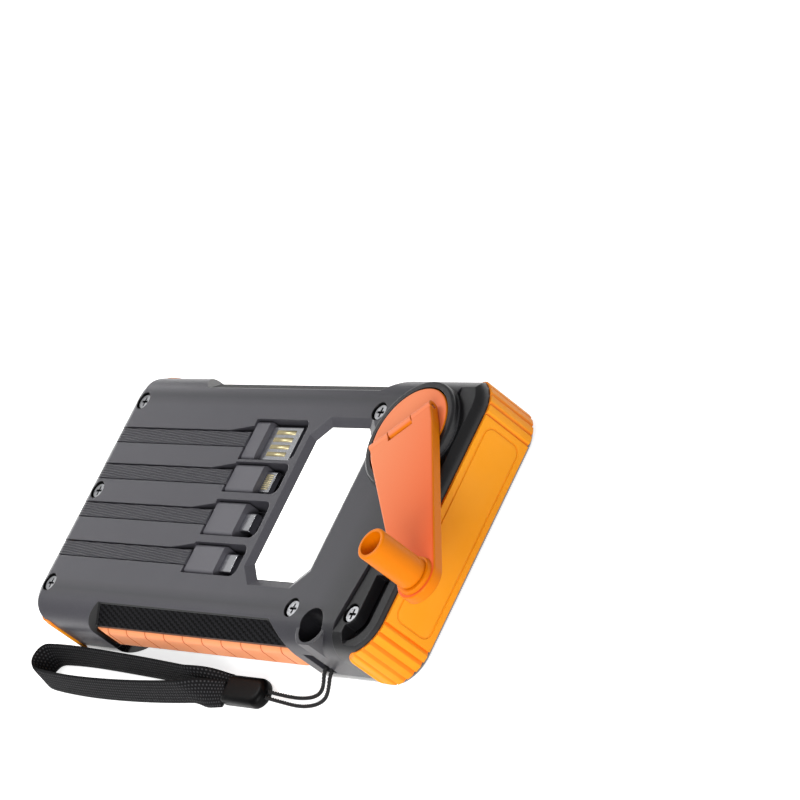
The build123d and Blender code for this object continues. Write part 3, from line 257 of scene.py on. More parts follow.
class Finish:
    """A Principled material whose textures are laid out in the part's own millimetres."""

    def __init__(self, name, color, roughness, **sockets):
        self.material = bpy.data.materials.new(name)
        self.material.use_nodes = True
        self.nodes = self.material.node_tree.nodes
        self.links = self.material.node_tree.links
        self.surface = self.nodes["Principled BSDF"]
        self.color = srgb(*color)
        self.roughness = roughness
        self.surface.inputs["Base Color"].default_value = self.color
        self.surface.inputs["Roughness"].default_value = roughness
        self.surface.inputs["Specular IOR Level"].default_value = plain_specular
        for socket, value in sockets.items():
            self.surface.inputs[socket.replace("_", " ")].default_value = value
        self.normal = None
        scale = self.nodes.new("ShaderNodeVectorMath")
        scale.operation = "SCALE"
        scale.inputs["Scale"].default_value = 1 / MM
        self.links.new(self.nodes.new("ShaderNodeTexCoord").outputs["Object"], scale.inputs[0])
        self.place = scale.outputs["Vector"]
        split = self.nodes.new("ShaderNodeSeparateXYZ")
        self.links.new(self.place, split.inputs[0])
        self.x, self.y, self.z = split.outputs

    def feed(self, socket, value):
        """Links a socket to another one, or sets it to a number."""
        if isinstance(value, (int, float)):
            socket.default_value = value
        else:
            self.links.new(value, socket)

    def math(self, operation, *values):
        node = self.nodes.new("ShaderNodeMath")
        node.operation = operation
        for socket, value in zip(node.inputs, values):
            self.feed(socket, value)
        return node.outputs[0]

    def above(self, value, edge, soft=0.0):
        """1 where the value is over the edge, 0 under it, with a soft step of that width."""
        node = self.nodes.new("ShaderNodeMapRange")
        self.feed(node.inputs["Value"], value)
        node.inputs["From Min"].default_value = edge - max(soft, 1e-4) / 2
        node.inputs["From Max"].default_value = edge + max(soft, 1e-4) / 2
        return node.outputs["Result"]

    def below(self, value, edge, soft=0.0):
        return self.math("SUBTRACT", 1.0, self.above(value, edge, soft))

    def past(self, value, edge):
        """How far the value is over the edge, and 0 under it."""
        return self.math("MAXIMUM", self.math("SUBTRACT", value, edge), 0.0)

    def distance(self, first, second):
        squares = (self.math("MULTIPLY", value, value) for value in (first, second))
        return self.math("SQRT", self.math("ADD", *squares))

    def hump(self, value):
        """Rises from 0 to 1 and back over each whole step of the value."""
        return self.math("SINE", self.math("MULTIPLY", self.math("FRACT", value), math.pi))

    def both(self, *masks):
        result = masks[0]
        for mask in masks[1:]:
            result = self.math("MULTIPLY", result, mask)
        return result

    def noise(self, scale, detail=2.0, place=None):
        node = self.nodes.new("ShaderNodeTexNoise")
        self.links.new(place or self.place, node.inputs["Vector"])
        node.inputs["Scale"].default_value = scale
        node.inputs["Detail"].default_value = detail
        return node.outputs["Fac"]

    def paint(self, mask, color, share=1.0):
        """Mixes a colour over what is there, as far as the mask says."""
        node = self.nodes.new("ShaderNodeMix")
        node.data_type = "RGBA"
        under = self.surface.inputs["Base Color"]
        if under.links:
            self.links.new(under.links[0].from_socket, node.inputs["A"])
        else:
            node.inputs["A"].default_value = self.color
        node.inputs["B"].default_value = srgb(*color)
        factor = mask if share == 1.0 else self.math("MULTIPLY", mask, share)
        self.feed(node.inputs["Factor"], factor)
        self.links.new(node.outputs["Result"], under)

    def mottle(self, color, scale=0.09, share=0.5):
        """Slow drift of the base colour towards another one."""
        self.paint(self.above(self.noise(scale, 3.0), 0.5, 0.5), color, share)

    def polish(self, spread, scale=1.2):
        """Roughness that varies a little over the surface."""
        node = self.nodes.new("ShaderNodeMapRange")
        self.links.new(self.noise(scale, 4.0), node.inputs["Value"])
        node.inputs["To Min"].default_value = self.roughness - spread
        node.inputs["To Max"].default_value = self.roughness + spread
        self.links.new(node.outputs["Result"], self.surface.inputs["Roughness"])

    def soften(self, radius):
        """Rounds the look of sharp edges."""
        node = self.nodes.new("ShaderNodeBevel")
        node.samples = bevel_samples
        node.inputs["Radius"].default_value = radius * MM
        self.normal = node.outputs["Normal"]
        self.links.new(self.normal, self.surface.inputs["Normal"])

    def edges(self, radius):
        """1 along edges and 0 on flats."""
        bevel = self.nodes.new("ShaderNodeBevel")
        bevel.samples = bevel_samples
        bevel.inputs["Radius"].default_value = radius * MM
        dot = self.nodes.new("ShaderNodeVectorMath")
        dot.operation = "DOT_PRODUCT"
        self.links.new(bevel.outputs["Normal"], dot.inputs[0])
        self.links.new(self.nodes.new("ShaderNodeNewGeometry").outputs["Normal"], dot.inputs[1])
        return self.below(dot.outputs["Value"], 0.93, 0.12)

    def bump(self, height, depth):
        node = self.nodes.new("ShaderNodeBump")
        node.inputs["Distance"].default_value = depth * MM
        self.links.new(height, node.inputs["Height"])
        if self.normal:
            self.links.new(self.normal, node.inputs["Normal"])
        self.normal = node.outputs["Normal"]
        self.links.new(self.normal, self.surface.inputs["Normal"])

    def circles(self, spots, radius):
        """1 inside circles round spots in plan."""
        result = 0.0
        for x, y in spots:
            away = self.distance(
                self.math("SUBTRACT", self.x, x), self.math("SUBTRACT", self.y, y)
            )
            result = self.math("MAXIMUM", result, self.below(away, radius, 0.1))
        return result

    def grain(self, scale, depth):
        self.bump(self.noise(scale, 2.0), depth)

    def depth_inside(self, half_length, half_width, radius):
        """Distance inwards from the outline of a rounded rectangle in plan."""
        along = self.past(self.math("ABSOLUTE", self.x), half_length - radius)
        across = self.past(self.math("ABSOLUTE", self.y), half_width - radius)
        return self.math("SUBTRACT", radius, self.distance(along, across))

    def moulded(self, spread, radius, depth=fine_grain_depth, scale=fine_grain_scale,
                polish_scale=1.2):
        """Uneven gloss, eased edges and a grain, as moulded plastic has."""
        self.polish(spread, polish_scale)
        self.soften(radius)
        self.grain(scale, depth)


# ---------------------------------------------------------------- finishes


def plastic(name, color, roughness, lighter, grain=fine_grain_depth, soft=0.25, **sockets):
    finish = Finish(name, color, roughness, **sockets)
    finish.mottle(lighter)
    finish.moulded(0.06, soft, depth=grain)
    return finish


def cover_finish():
    """Grey cover with painted shade: darker along its shoulders and toward the crank, black in
    wells and recesses, with a painted highlight along its edges and a dark disc round the crank
    boss.
    """
    finish = Finish("cover_satin", (66, 65, 71), 0.36)
    finish.mottle((60, 59, 65), share=0.6)
    finish.paint(finish.above(finish.noise(4.5, 1.0), 0.52, 0.1), (79, 78, 84), 0.4)
    # painted shade: a darker band along each shoulder, where the rounded long edges turn from the
    # light
    beside = finish.math("ABSOLUTE", finish.y)
    shoulder = finish.math("ABSOLUTE", finish.math("SUBTRACT", beside, shoulder_shade_y))
    finish.paint(finish.below(shoulder, shoulder_shade_half_width, 3.0), (36, 35, 40), 0.6)
    # painted shade: the cover darkens toward the crank end, where less light falls, and more at its
    # corner there
    finish.paint(finish.above(finish.x, shade_middle_x, shade_length), (42, 42, 46), 0.7)
    finish.paint(finish.above(finish.x, corner_shade_x, corner_shade_length), (26, 26, 29), 0.65)
    boss = finish.circles([(hub_x, hub_y)], boss_radius + boss_mask_margin)
    finish.paint(boss, (24, 24, 26), 0.85)
    over = finish.past(beside, body_width / 2 - side_proud - side_top_radius)
    up = finish.past(finish.z, body_height - side_top_radius)
    from_middle = finish.math("ABSOLUTE", finish.math("SUBTRACT", finish.x, waist_shift))
    # painted shade: the recess behind the trims is painted black
    recess = finish.both(
        finish.below(finish.distance(over, up), side_top_radius - recess_depth, 0.04),
        finish.below(from_middle, waist_half_length + recess_end_margin, 0.1),
        finish.above(beside, waist_bevel_y - recess_side_margin, 0.05),
    )
    # painted highlight: a paler line along the cover's edges
    finish.paint(finish.edges(0.3), (128, 127, 132), 0.2)
    finish.paint(recess, (7, 7, 8))
    # painted shade: black inside the screw wells and the stow hole
    finish.paint(finish.circles(screw_spots, screw_well_radius), well_shade_black)
    finish.paint(finish.circles([(stow_x, stow_y)], stow_radius + stow_mask_margin), (4, 4, 5))
    finish.moulded(0.07, 0.3, coarse_grain_depth, coarse_grain_scale, 2.0)
    return finish


def frame_finish():
    finish = Finish("frame_gloss", (20, 20, 22), 0.16, Coat_Weight=0.4, Coat_Roughness=0.05)
    finish.mottle((26, 26, 28))
    finish.moulded(0.04, 0.3, 0.006, 0.6, 0.6)
    return finish


def bumper_finish():
    """Orange rubber with painted shade between the ridges, where it is deeper in colour."""
    finish = Finish("bumper_rubber", (250, 160, 14), 0.45, Specular_IOR_Level=0.2)
    inward = finish.depth_inside(body_length / 2, body_width / 2, corner_radius)
    # painted shade: deeper orange between the ridges
    finish.paint(finish.above(inward, ridge_depth / 2, 0.2), (250, 132, 14))
    finish.mottle((250, 168, 52), share=0.35)
    finish.moulded(0.06, 0.25)
    return finish


def strip_finish(name, color, groove_shade_color, light):
    """Orange strip with painted shade in its grooves: thin dark lines across it at an even pitch.
    """
    finish = Finish(name, color, 0.45)
    finish.mottle(light, share=0.4)
    from_middle = finish.math("SUBTRACT", finish.x, waist_shift)
    step = finish.math("FRACT", finish.math("DIVIDE", from_middle, strip_line_pitch))
    beside = finish.math("ABSOLUTE", finish.math("SUBTRACT", step, 0.5))
    line = finish.below(finish.math("MULTIPLY", beside, strip_line_pitch), strip_line_half, 0.15)
    lined = finish.below(finish.math("ABSOLUTE", from_middle), strip_lines_reach, 0.1)
    # painted shade: dark lines in the grooves across the strip
    finish.paint(finish.both(line, lined), groove_shade_color)
    finish.moulded(0.06, 0.2)
    return finish


def twill_finish():
    """Two-by-two twill: each tow passes over two and under two, one step along in each row."""
    finish = Finish("twill_weave", (3, 3, 4), 0.5, Specular_IOR_Level=0.03)
    along = finish.math("DIVIDE", finish.x, tow_width)
    rise = finish.math("DIVIDE", finish.math("MULTIPLY", finish.z, bevel_stretch), tow_width)
    step = finish.math("ADD", finish.math("FLOOR", along), finish.math("FLOOR", rise))
    over = finish.above(finish.math("FRACT", finish.math("DIVIDE", step, 4.0)), 0.49, 0.02)
    rounded = finish.both(finish.hump(rise), over)
    crossing = finish.both(finish.hump(along), finish.math("SUBTRACT", 1.0, over))
    finish.paint(over, (30, 30, 33))
    finish.paint(finish.noise(9.0, 2.0), (6, 6, 7), 0.3)
    finish.bump(finish.math("ADD", rounded, crossing), 0.04)
    return finish


def cell_finish():
    """Black cells with thin pale lines that leave a gap along the middle."""
    finish = Finish("solar_cell", (10, 10, 11), 0.22)
    step = finish.math("FRACT", finish.math("DIVIDE", finish.x, cell_line_pitch))
    line = finish.below(step, cell_line_share, 0.03)
    beside = finish.above(finish.math("ABSOLUTE", finish.y), cell_gap_half, 0.05)
    finish.mottle((14, 14, 16))
    finish.paint(finish.both(line, beside), (150, 150, 152))
    finish.polish(0.05)
    return finish


def metal(name, color, roughness, scale=2.5, stretch=(1, 1, 1)):
    """Brushed metal; the stretch sets the direction of the brushing."""
    finish = Finish(name, color, roughness, Metallic=1.0)
    node = finish.nodes.new("ShaderNodeVectorMath")
    node.operation = "MULTIPLY"
    finish.links.new(finish.place, node.inputs[0])
    node.inputs[1].default_value = stretch
    brushed = finish.noise(scale, 3.0, node.outputs["Vector"])
    finish.paint(brushed, tuple(int(c * 0.8) for c in color), 0.5)
    finish.polish(0.08)
    finish.soften(0.12)
    finish.bump(brushed, 0.01)
    return finish


def glowing(name, color, strength):
    finish = Finish(name, color, 0.3, Emission_Strength=strength)
    finish.surface.inputs["Emission Color"].default_value = srgb(*color)
    return finish


def webbing_finish():
    """Plain weave in rows along the band, with pale specks where the yarns cross."""
    finish = Finish("strap_weave", (15, 15, 17), 0.85, Specular_IOR_Level=0.15)
    across = finish.nodes.new("ShaderNodeUVMap")
    across.uv_map = "weave"
    split = finish.nodes.new("ShaderNodeSeparateXYZ")
    finish.links.new(across.outputs["UV"], split.inputs[0])
    along, row = split.outputs[0], split.outputs[1]
    shift = finish.math("MULTIPLY", finish.math("FLOOR", row), 0.5)
    knot = finish.both(finish.hump(finish.math("ADD", along, shift)), finish.hump(row))
    finish.paint(finish.above(knot, 0.72, 0.3), (88, 88, 91), 0.6)
    finish.paint(finish.noise(6.0, 2.0), (12, 12, 13), 0.45)
    finish.bump(knot, 0.2)
    return finish


def housing_finish():
    finish = Finish("housing_satin", (19, 19, 21), 0.34)
    finish.mottle((24, 24, 26), share=0.5)
    # painted highlight: paler lines along the housing's edges
    finish.paint(finish.edges(0.4), (70, 70, 74), 0.3)
    # painted shade: black inside the screw well
    finish.paint(finish.circles(screw_spots[-1:], screw_well_radius), well_shade_black)
    finish.moulded(0.05, 0.4, coarse_grain_depth, coarse_grain_scale, 2.0)
    return finish


def screw_finish():
    """Steel head with painted shade in its cross recess, dark and not metallic; the housing's screw
    sits a little lower than the others.
    """
    finish = metal("screw_steel", (206, 207, 210), 0.3, 5.0)
    lowered = finish.math("MULTIPLY", finish.above(finish.x, housing_screw_from), housing_drop)
    level = finish.math("ADD", finish.z, lowered)
    cross_level = screw_head_top - screw_cross_depth
    # painted shade: the cross recess is painted dark and not metallic
    finish.paint(finish.below(level, cross_level, 0.05), (8, 8, 9))
    finish.feed(finish.surface.inputs["Metallic"], finish.above(level, cross_level, 0.05))
    return finish


def crank_finish():
    """Orange plastic with painted light: its faces on top are painted salmon and paler near the
    hub, as light falls on them.
    """
    finish = Finish("crank_plastic", (226, 121, 0), 0.42, Specular_IOR_Level=0.12)
    finish.mottle((231, 128, 2), share=0.4)
    split = finish.nodes.new("ShaderNodeSeparateXYZ")
    coordinate = next(node for node in finish.nodes if node.bl_idname == "ShaderNodeTexCoord")
    finish.links.new(coordinate.outputs["Normal"], split.inputs[0])
    # painted light: the upward faces take a salmon tone from the light
    upward = finish.above(split.outputs["Z"], 0.8, 0.2)
    top = finish.both(upward, finish.below(finish.z, arm_top_z + 0.4, 0.2))
    finish.paint(top, (228, 94, 34))
    # painted highlight: paler toward the hub
    lit_near_hub = finish.below(finish.x, lit_middle_x, lit_length)
    finish.paint(finish.both(top, lit_near_hub), (236, 142, 98), 0.85)
    finish.moulded(0.06, 0.35)
    return finish


finishes = {
    "cover_grey": cover_finish(),
    "frame_black": frame_finish(),
    "housing_black": housing_finish(),
    "bumper_orange": bumper_finish(),
    "crank_orange": crank_finish(),
    "panel_glass": Finish("panel_glass", (60, 60, 62), 0.1, Alpha=0.12),
    "solar_cell": cell_finish(),
    "lamp_lens": glowing("lamp_glow", (255, 255, 252), 1.3),
    "board_white": plastic("board_white", (232, 232, 228), 0.6, (240, 240, 236)),
    "led_yellow": glowing("led_chip", (250, 236, 160), 1.5),
    "board_green": plastic("board_green", (24, 92, 52), 0.45, (30, 108, 60)),
    "battery_foil": metal("battery_foil", (200, 201, 204), 0.4, 0.8),
    "screw_steel": screw_finish(),
    "shaft_steel": metal("shaft_steel", (196, 197, 200), 0.25, 3.0, (1, 1, 6)),
    "can_steel": metal("can_steel", (202, 203, 206), 0.32, 1.5),
    "plate_steel": metal("plate_steel", (188, 190, 194), 0.38, 1.2),
    "bush_brass": metal("bush_brass", (206, 168, 92), 0.28, 3.0),
    "gear_white": plastic("gear_nylon", (232, 229, 218), 0.42, (238, 236, 226)),
    "button_grey": plastic("button_grey", (104, 104, 106), 0.4, (122, 122, 124)),
    "switch_black": plastic("switch_black", (24, 24, 24), 0.5, (32, 32, 32)),
    "light_blue": glowing("light_blue", (50, 104, 190), 0.6),
    "socket_steel": metal("socket_steel", (206, 208, 211), 0.3),
    "lead_black": plastic("lead_rubber", (50, 49, 55), 0.45, (58, 57, 63), soft=0.1),
    "plug_black": plastic("plug_satin", (84, 83, 89), 0.42, (90, 89, 95)),
    "plug_steel": metal("plug_steel", (224, 225, 229), 0.2, 2.0, (1, 6, 6)),
    "trim_weave": twill_finish(),
    "clasp_black": plastic(
        "clasp_satin", (4, 4, 5), 0.4, (6, 6, 7), soft=0.3, Specular_IOR_Level=0.08
    ),
}
strip_salmon = strip_finish("strip_salmon", (252, 158, 105), (214, 104, 52), (252, 168, 120))
strip_amber = strip_finish("strip_amber", (246, 158, 62), (206, 104, 26), (248, 168, 84))
gold = metal("contact_gold", (236, 222, 176), 0.5, 3.0, (6, 1, 1))
mark_paint = plastic("mark_paint", (20, 20, 21), 0.5, (26, 26, 27))
cord_weave = plastic("cord_yarn", (16, 16, 17), 0.75, (40, 40, 42), grain=0.05)


# ---------------------------------------------------------------- frame

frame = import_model()
nodes = frame["nodes"]
slot_of = {part["node"]: part["material_slot"] for part in frame["record"]["subparts"]}
own_finish = {
    "strap_side_strip": strip_salmon,
    "port_side_strip": strip_amber,
    "port_cover": strip_amber,
}
for name, node in nodes.items():
    finish = own_finish.get(name) or finishes.get(slot_of[name])
    if finish:
        node.data.materials.clear()
        node.data.materials.append(finish.material)


# ---------------------------------------------------------------- added pieces


def mesh_object(name, shape, finish, smooth=True):
    """A piece from a bmesh, which is freed."""
    bmesh.ops.recalc_face_normals(shape, faces=shape.faces)
    mesh = bpy.data.meshes.new(name)
    shape.to_mesh(mesh)
    shape.free()
    piece = bpy.data.objects.new(name, mesh)
    bpy.context.scene.collection.objects.link(piece)
    mesh.materials.append(finish.material)
    for face in mesh.polygons:
        face.use_smooth = smooth
    return piece


def bars(name, places, size, finish):
    """Small flat bars with rounded edges, one at each place."""
    shape = bmesh.new()
    stretch = Matrix.Diagonal((*(side * MM for side in size), 1))
    for place in places:
        matrix = Matrix.Translation(Vector(place) * MM) @ stretch
        bmesh.ops.create_cube(shape, size=1.0, matrix=matrix)
    bmesh.ops.bevel(
        shape, geom=shape.edges[:], offset=min(size) * bar_edge_share * MM, segments=2,
        affect="EDGES",
    )
    return mesh_object(name, shape, finish)


def heading(path, step):
    """Direction of a path at one of its points."""
    return (path[min(step + 1, len(path) - 1)] - path[max(step - 1, 0)]).normalized()


def route_points(name, route, count):
    """Even points along the smooth curve that a route's points steer, in metres."""
    data = bpy.data.curves.new(name, "CURVE")
    data.dimensions = "3D"
    data.resolution_u = route_resolution
    spline = data.splines.new("NURBS")
    spline.points.add(len(route) - 1)
    for point, place in zip(spline.points, route):
        point.co = (*(Vector(place) * MM), 1)
    spline.order_u = 3
    spline.use_endpoint_u = True
    holder = bpy.data.objects.new(name, data)
    mesh = bpy.data.meshes.new_from_object(holder)
    line = [vertex.co.copy() for vertex in mesh.vertices]
    bpy.data.objects.remove(holder)
    bpy.data.meshes.remove(mesh)
    reach = [0.0]
    for before, after in zip(line, line[1:]):
        reach.append(reach[-1] + (after - before).length)
    even, index = [], 0
    for step in range(count):
        goal = reach[-1] * step / (count - 1)
        while index < len(line) - 2 and reach[index + 1] < goal:
            index += 1
        share = (goal - reach[index]) / max(reach[index + 1] - reach[index], 1e-9)
        even.append(line[index].lerp(line[index + 1], min(max(share, 0.0), 1.0)))
    return even, reach[-1]


def rope(name, route):
    """Twisted strands round a route."""
    path, reach = route_points(name + "_route", route, rope_steps)
    shape = bmesh.new()
    radius = cord_diameter * strand_share * MM
    offset = cord_diameter / 2 * MM - radius
    for strand in range(strand_count):
        rings = []
        normal = Vector((0, 0, 1))
        for step, place in enumerate(path):
            ahead = heading(path, step)
            normal = (normal - ahead * normal.dot(ahead)).normalized()
            side = ahead.cross(normal)
            turns = step / (rope_steps - 1) * reach / (strand_lay * MM) + strand / strand_count
            turn = 2 * math.pi * turns
            centre = place + (normal * math.cos(turn) + side * math.sin(turn)) * offset
            rings.append([
                shape.verts.new(centre + (normal * math.cos(a) + side * math.sin(a)) * radius)
                for a in (2 * math.pi * k / strand_sides for k in range(strand_sides))
            ])
        for low, high in zip(rings, rings[1:]):
            for k in range(strand_sides):
                after = (k + 1) % strand_sides
                shape.faces.new((low[k], low[after], high[after], high[k]))
        shape.faces.new(rings[0][::-1])
        shape.faces.new(rings[-1])
    piece = mesh_object(name, shape, cord_weave)
    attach(piece, "casing")
    return piece


def webbing():
    """The woven band: it stands on edge round its loop and turns flat where it enters the clasp."""
    route = [(x, y, webbing_width / 2) for x, y in webbing_route]
    path, reach = route_points("webbing_route", route, band_steps)
    clasp_middle = sum((c.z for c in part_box("strap_clasp")), 0.0) / 2
    shape = bmesh.new()
    layer = shape.loops.layers.uv.new("weave")
    front, back, centres = [], [], []
    for step, place in enumerate(path):
        ahead = heading(path, step)
        from_end = min(step, band_steps - 1 - step) / (band_steps - 1) * reach
        share = min(from_end / (band_turn_length * MM), 1.0)
        share = share * share * (3 - 2 * share)
        lean = math.radians(band_lean + (clasp_tilt - band_lean) * (1 - share))
        inward = Vector((-ahead.y, ahead.x, 0)).normalized() * (1 if ahead.x >= 0 else -1)
        tilt = lean * abs(ahead.x)
        up = Vector((0, 0, 1)) * math.cos(tilt) + inward * math.sin(tilt)
        out = ahead.cross(up).normalized()
        half = webbing_width / 2 * (clasp_squeeze + (1 - clasp_squeeze) * share)
        stack = band_stack_share if step < band_steps / 2 else -band_stack_share
        level = clasp_middle + stack * webbing_thickness * MM
        centre = Vector((place.x, place.y, level + (place.z - level) * share))
        centres.append(centre)
        for rows, sign in ((front, 1), (back, -1)):
            row = []
            for k in range(band_columns + 1):
                beside = 2 * k / band_columns - 1
                bulge = math.sqrt(max(1 - beside ** band_edge_power, band_edge_least))
                side = out * (sign * webbing_thickness / 2 * bulge * MM)
                row.append(shape.verts.new(centre + up * (half * beside * MM) + side))
            rows.append(row)

    def skin(rows, flip):
        for step in range(band_steps - 1):
            for k in range(band_columns):
                places = [(step, k), (step + 1, k), (step + 1, k + 1), (step, k + 1)]
                if flip:
                    places = places[::-1]
                face = shape.faces.new([rows[s][w] for s, w in places])
                for loop, (s, w) in zip(face.loops, places):
                    loop[layer].uv = (
                        s / (band_steps - 1) * reach / (weave_pitch * MM),
                        w / band_columns * webbing_width / weave_pitch,
                    )

    skin(front, True)
    skin(back, False)
    for k in (0, band_columns):
        for low, high, far, near in zip(front, front[1:], back[1:], back):
            shape.faces.new((low[k], high[k], far[k], near[k]))
    for step in (0, band_steps - 1):
        shape.faces.new(front[step] + back[step][::-1])
    piece = mesh_object("webbing_band", shape, webbing_finish())
    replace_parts(piece, "strap_webbing")
    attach(piece, "casing")


def lead_cover(index):
    """One ribbed lead: up over the tail edge and on to its plug, with slanting ridges."""
    node = f"lead_{index + 1}"
    low, high = (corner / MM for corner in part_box(node))
    high.z += lead_lift
    root_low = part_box("lead_roots")[0].z / MM
    arc_x = top_edge_radius - (body_length / 2 - end_proud)
    arc_z = body_height - top_edge_radius
    radius = high.z - arc_z
    thickness = high.z - low.z
    rise, bend, run = arc_z - root_low, radius * math.pi / 2, high.x - arc_x
    middle, half = (low.y + high.y) / 2, (high.y - low.y) / 2
    shape = bmesh.new()
    top, under = [], []
    for step in range(lead_steps + 1):
        reach = (rise + bend + run) * step / lead_steps
        if reach < rise:
            normal = Vector((-1, 0, 0))
            place = Vector((arc_x - radius, 0, root_low + reach))
        elif reach < rise + bend:
            angle = (reach - rise) / radius
            normal = Vector((-math.cos(angle), 0, math.sin(angle)))
            place = Vector((arc_x, 0, arc_z)) + normal * radius
        else:
            normal = Vector((0, 0, 1))
            place = Vector((arc_x + reach - rise - bend, 0, high.z))
        drift = max(place.x - lead_straight_x, 0.0) * lead_ridge_drift if normal.z > 0.5 else 0.0
        row = []
        for column in range(lead_columns + 1):
            across = 2 * column / lead_columns - 1
            ridge = (across * half + drift) / lead_ridge_pitch % 1.0
            edge = max(abs(across) * half - (half - lead_edge_round), 0.0) / lead_edge_round
            drop = lead_edge_round * (1 - math.sqrt(max(1 - edge * edge, 0.0)))
            groove = 1 - math.sin(ridge * math.pi) ** lead_ridge_power
            spot = place - normal * (lead_ridge_height * groove + drop)
            row.append(shape.verts.new(Vector((spot.x, middle + across * half, spot.z)) * MM))
        top.append(row)
        base = place - normal * thickness
        under.append([
            shape.verts.new(Vector((base.x, middle + side * half, base.z)) * MM) for side in (-1, 1)
        ])
    for row, after, base, base_after in zip(top, top[1:], under, under[1:]):
        for column in range(lead_columns):
            side = column + 1
            shape.faces.new((row[column], row[side], after[side], after[column]))
        shape.faces.new((base[1], base[0], base_after[0], base_after[1]))
        shape.faces.new((base[0], row[0], after[0], base_after[0]))
        shape.faces.new((row[-1], base[1], base_after[1], after[-1]))
    for row, base in ((top[0], under[0]), (top[-1], under[-1])):
        shape.faces.new([*row, base[1], base[0]])
    piece = mesh_object(f"ribbed_{node}", shape, finishes["lead_black"])
    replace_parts(piece, node, *(["lead_roots"] if index == 0 else []))
    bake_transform(piece)


def plug_contacts():
    """Gold contacts on the first two plugs."""
    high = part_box("plug_tongue_1")[1] / MM
    first = lead_centres[0] - (contact_count - 1) / 2 * contact_pitch
    middle_x = contact_low_x + contact_length / 2
    level = high.z + contact_height / 2 - contact_sink
    places = [(middle_x, first + contact_pitch * k, level) for k in range(contact_count)]
    size = (contact_length, contact_width, contact_height)
    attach(bars("plug_contacts_1", places, size, gold), "charging_lead_1")
    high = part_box("plug_tongue_2")[1] / MM
    first = lead_centres[1] - (pin_count - 1) / 2 * pin_pitch
    middle_x = high.x - pin_end_gap - pin_length / 2
    level = high.z + contact_height / 2 - contact_sink
    places = [(middle_x, first + pin_pitch * k, level) for k in range(pin_count)]
    size = (pin_length, pin_width, contact_height)
    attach(bars("plug_contacts_2", places, size, gold), "charging_lead_2")


def power_mark():
    """Ring with a gap at its side and a bar through the gap."""
    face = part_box("power_button")[1].y / MM
    gap = math.radians(mark_gap_angle)
    corners = ((-1, 0), (-1, 1), (1, 1), (1, 0))
    shape = bmesh.new()
    rings = []
    for step in range(mark_steps + 1):
        angle = math.pi / 2 + gap + (2 * math.pi - 2 * gap) * step / mark_steps
        ring = []
        for side, level in corners:
            reach = mark_radius + side * mark_line / 2
            ring.append(shape.verts.new(Vector((
                button_x + reach * math.sin(angle), face + level * mark_height - mark_sink,
                button_z + reach * math.cos(angle),
            )) * MM))
        rings.append(ring)
    for low, high in zip(rings, rings[1:]):
        for k in range(len(corners)):
            after = (k + 1) % len(corners)
            shape.faces.new((low[k], low[after], high[after], high[k]))
    for ring in (rings[0], rings[-1]):
        shape.faces.new(ring)
    place = Vector((button_x + mark_radius * mark_bar_lift, face, button_z)) * MM
    size = (mark_radius * mark_bar_share * MM, 2 * mark_height * MM, mark_line * MM, 1)
    matrix = Matrix.Translation(place) @ Matrix.Diagonal(size)
    bmesh.ops.create_cube(shape, size=1.0, matrix=matrix)
    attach(mesh_object("power_mark", shape, mark_paint, smooth=False), "button")


def clasp():
    """Moulded clasp, square where the band goes in and round where the cords come out."""
    low, high = (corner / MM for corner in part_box("strap_clasp"))
    middle, half = (low.y + high.y) / 2, (high.y - low.y) / 2
    mouth = half * clasp_mouth_share
    shoulder_x = low.x + clasp_mouth_length
    outline = [(low.x, middle - mouth), (low.x, middle + mouth), (shoulder_x, middle + half)]
    nose = half * clasp_nose
    for step in range(clasp_steps + 1):
        angle = math.pi / 2 - math.pi * step / clasp_steps
        along = high.x - nose + nose * math.cos(angle)
        outline.append((along, middle + half * math.sin(angle)))
    outline.append((shoulder_x, middle - half))
    rings = []
    for row in range(clasp_rows + 1):
        angle = math.pi / 2 * (row / clasp_rows)
        rings.append((clasp_round * (1 - math.sin(angle)),
                      low.z + clasp_round * (1 - math.cos(angle))))
    rings += [(inset, low.z + high.z - level) for inset, level in reversed(rings)]
    shape = bmesh.new()
    loops = []
    heart = Vector(((low.x + high.x) / 2, middle))
    for inset, level in rings:
        share_x, share_y = 1 - inset / (high.x - heart.x), 1 - inset / half
        loop = []
        for x, y in outline:
            spot = (heart.x + (x - heart.x) * share_x, heart.y + (y - heart.y) * share_y, level)
            loop.append(shape.verts.new(Vector(spot) * MM))
        loops.append(loop)
    for below, above in zip(loops, loops[1:]):
        for k in range(len(outline)):
            after = (k + 1) % len(outline)
            shape.faces.new((below[k], below[after], above[after], above[k]))
    shape.faces.new(loops[0][::-1])
    shape.faces.new(loops[-1])
    piece = mesh_object("clasp_shell", shape, finishes["clasp_black"])
    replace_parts(piece, "strap_clasp")
    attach(piece, "casing")
    return piece


def cell_sheet():
    """The solar cells, a hair behind the glass so that the two don't share a face."""
    low, high = (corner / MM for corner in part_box("solar_cells"))
    middle = (low + high) / 2
    middle.z += cell_air / 2
    size = (high.x - low.x, high.y - low.y, high.z - low.z - cell_air)
    piece = bars("cell_sheet", [middle], size, finishes["solar_cell"])
    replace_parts(piece, "solar_cells")
    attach(piece, "casing")


def flap_cover():
    """The port flap with its outer edges eased."""
    low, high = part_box("port_cover")
    mesh = nodes["port_cover"].data.copy()
    into_part = nodes["port_cover"].matrix_world.copy()
    back = into_part.inverted()
    middle = (low.z + high.z) / 2
    for vertex in mesh.vertices:
        place = into_part @ vertex.co
        share = min(max((place.y - low.y) / (flap_thickness * MM), 0.0), 1.0)
        place.z = middle + (place.z - middle) * (1 - flap_taper * share)
        vertex.co = back @ place
    piece = bpy.data.objects.new("flap_cover", mesh)
    bpy.context.scene.collection.objects.link(piece)
    piece.matrix_world = into_part
    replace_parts(piece, "port_cover")
    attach(piece, "flap")


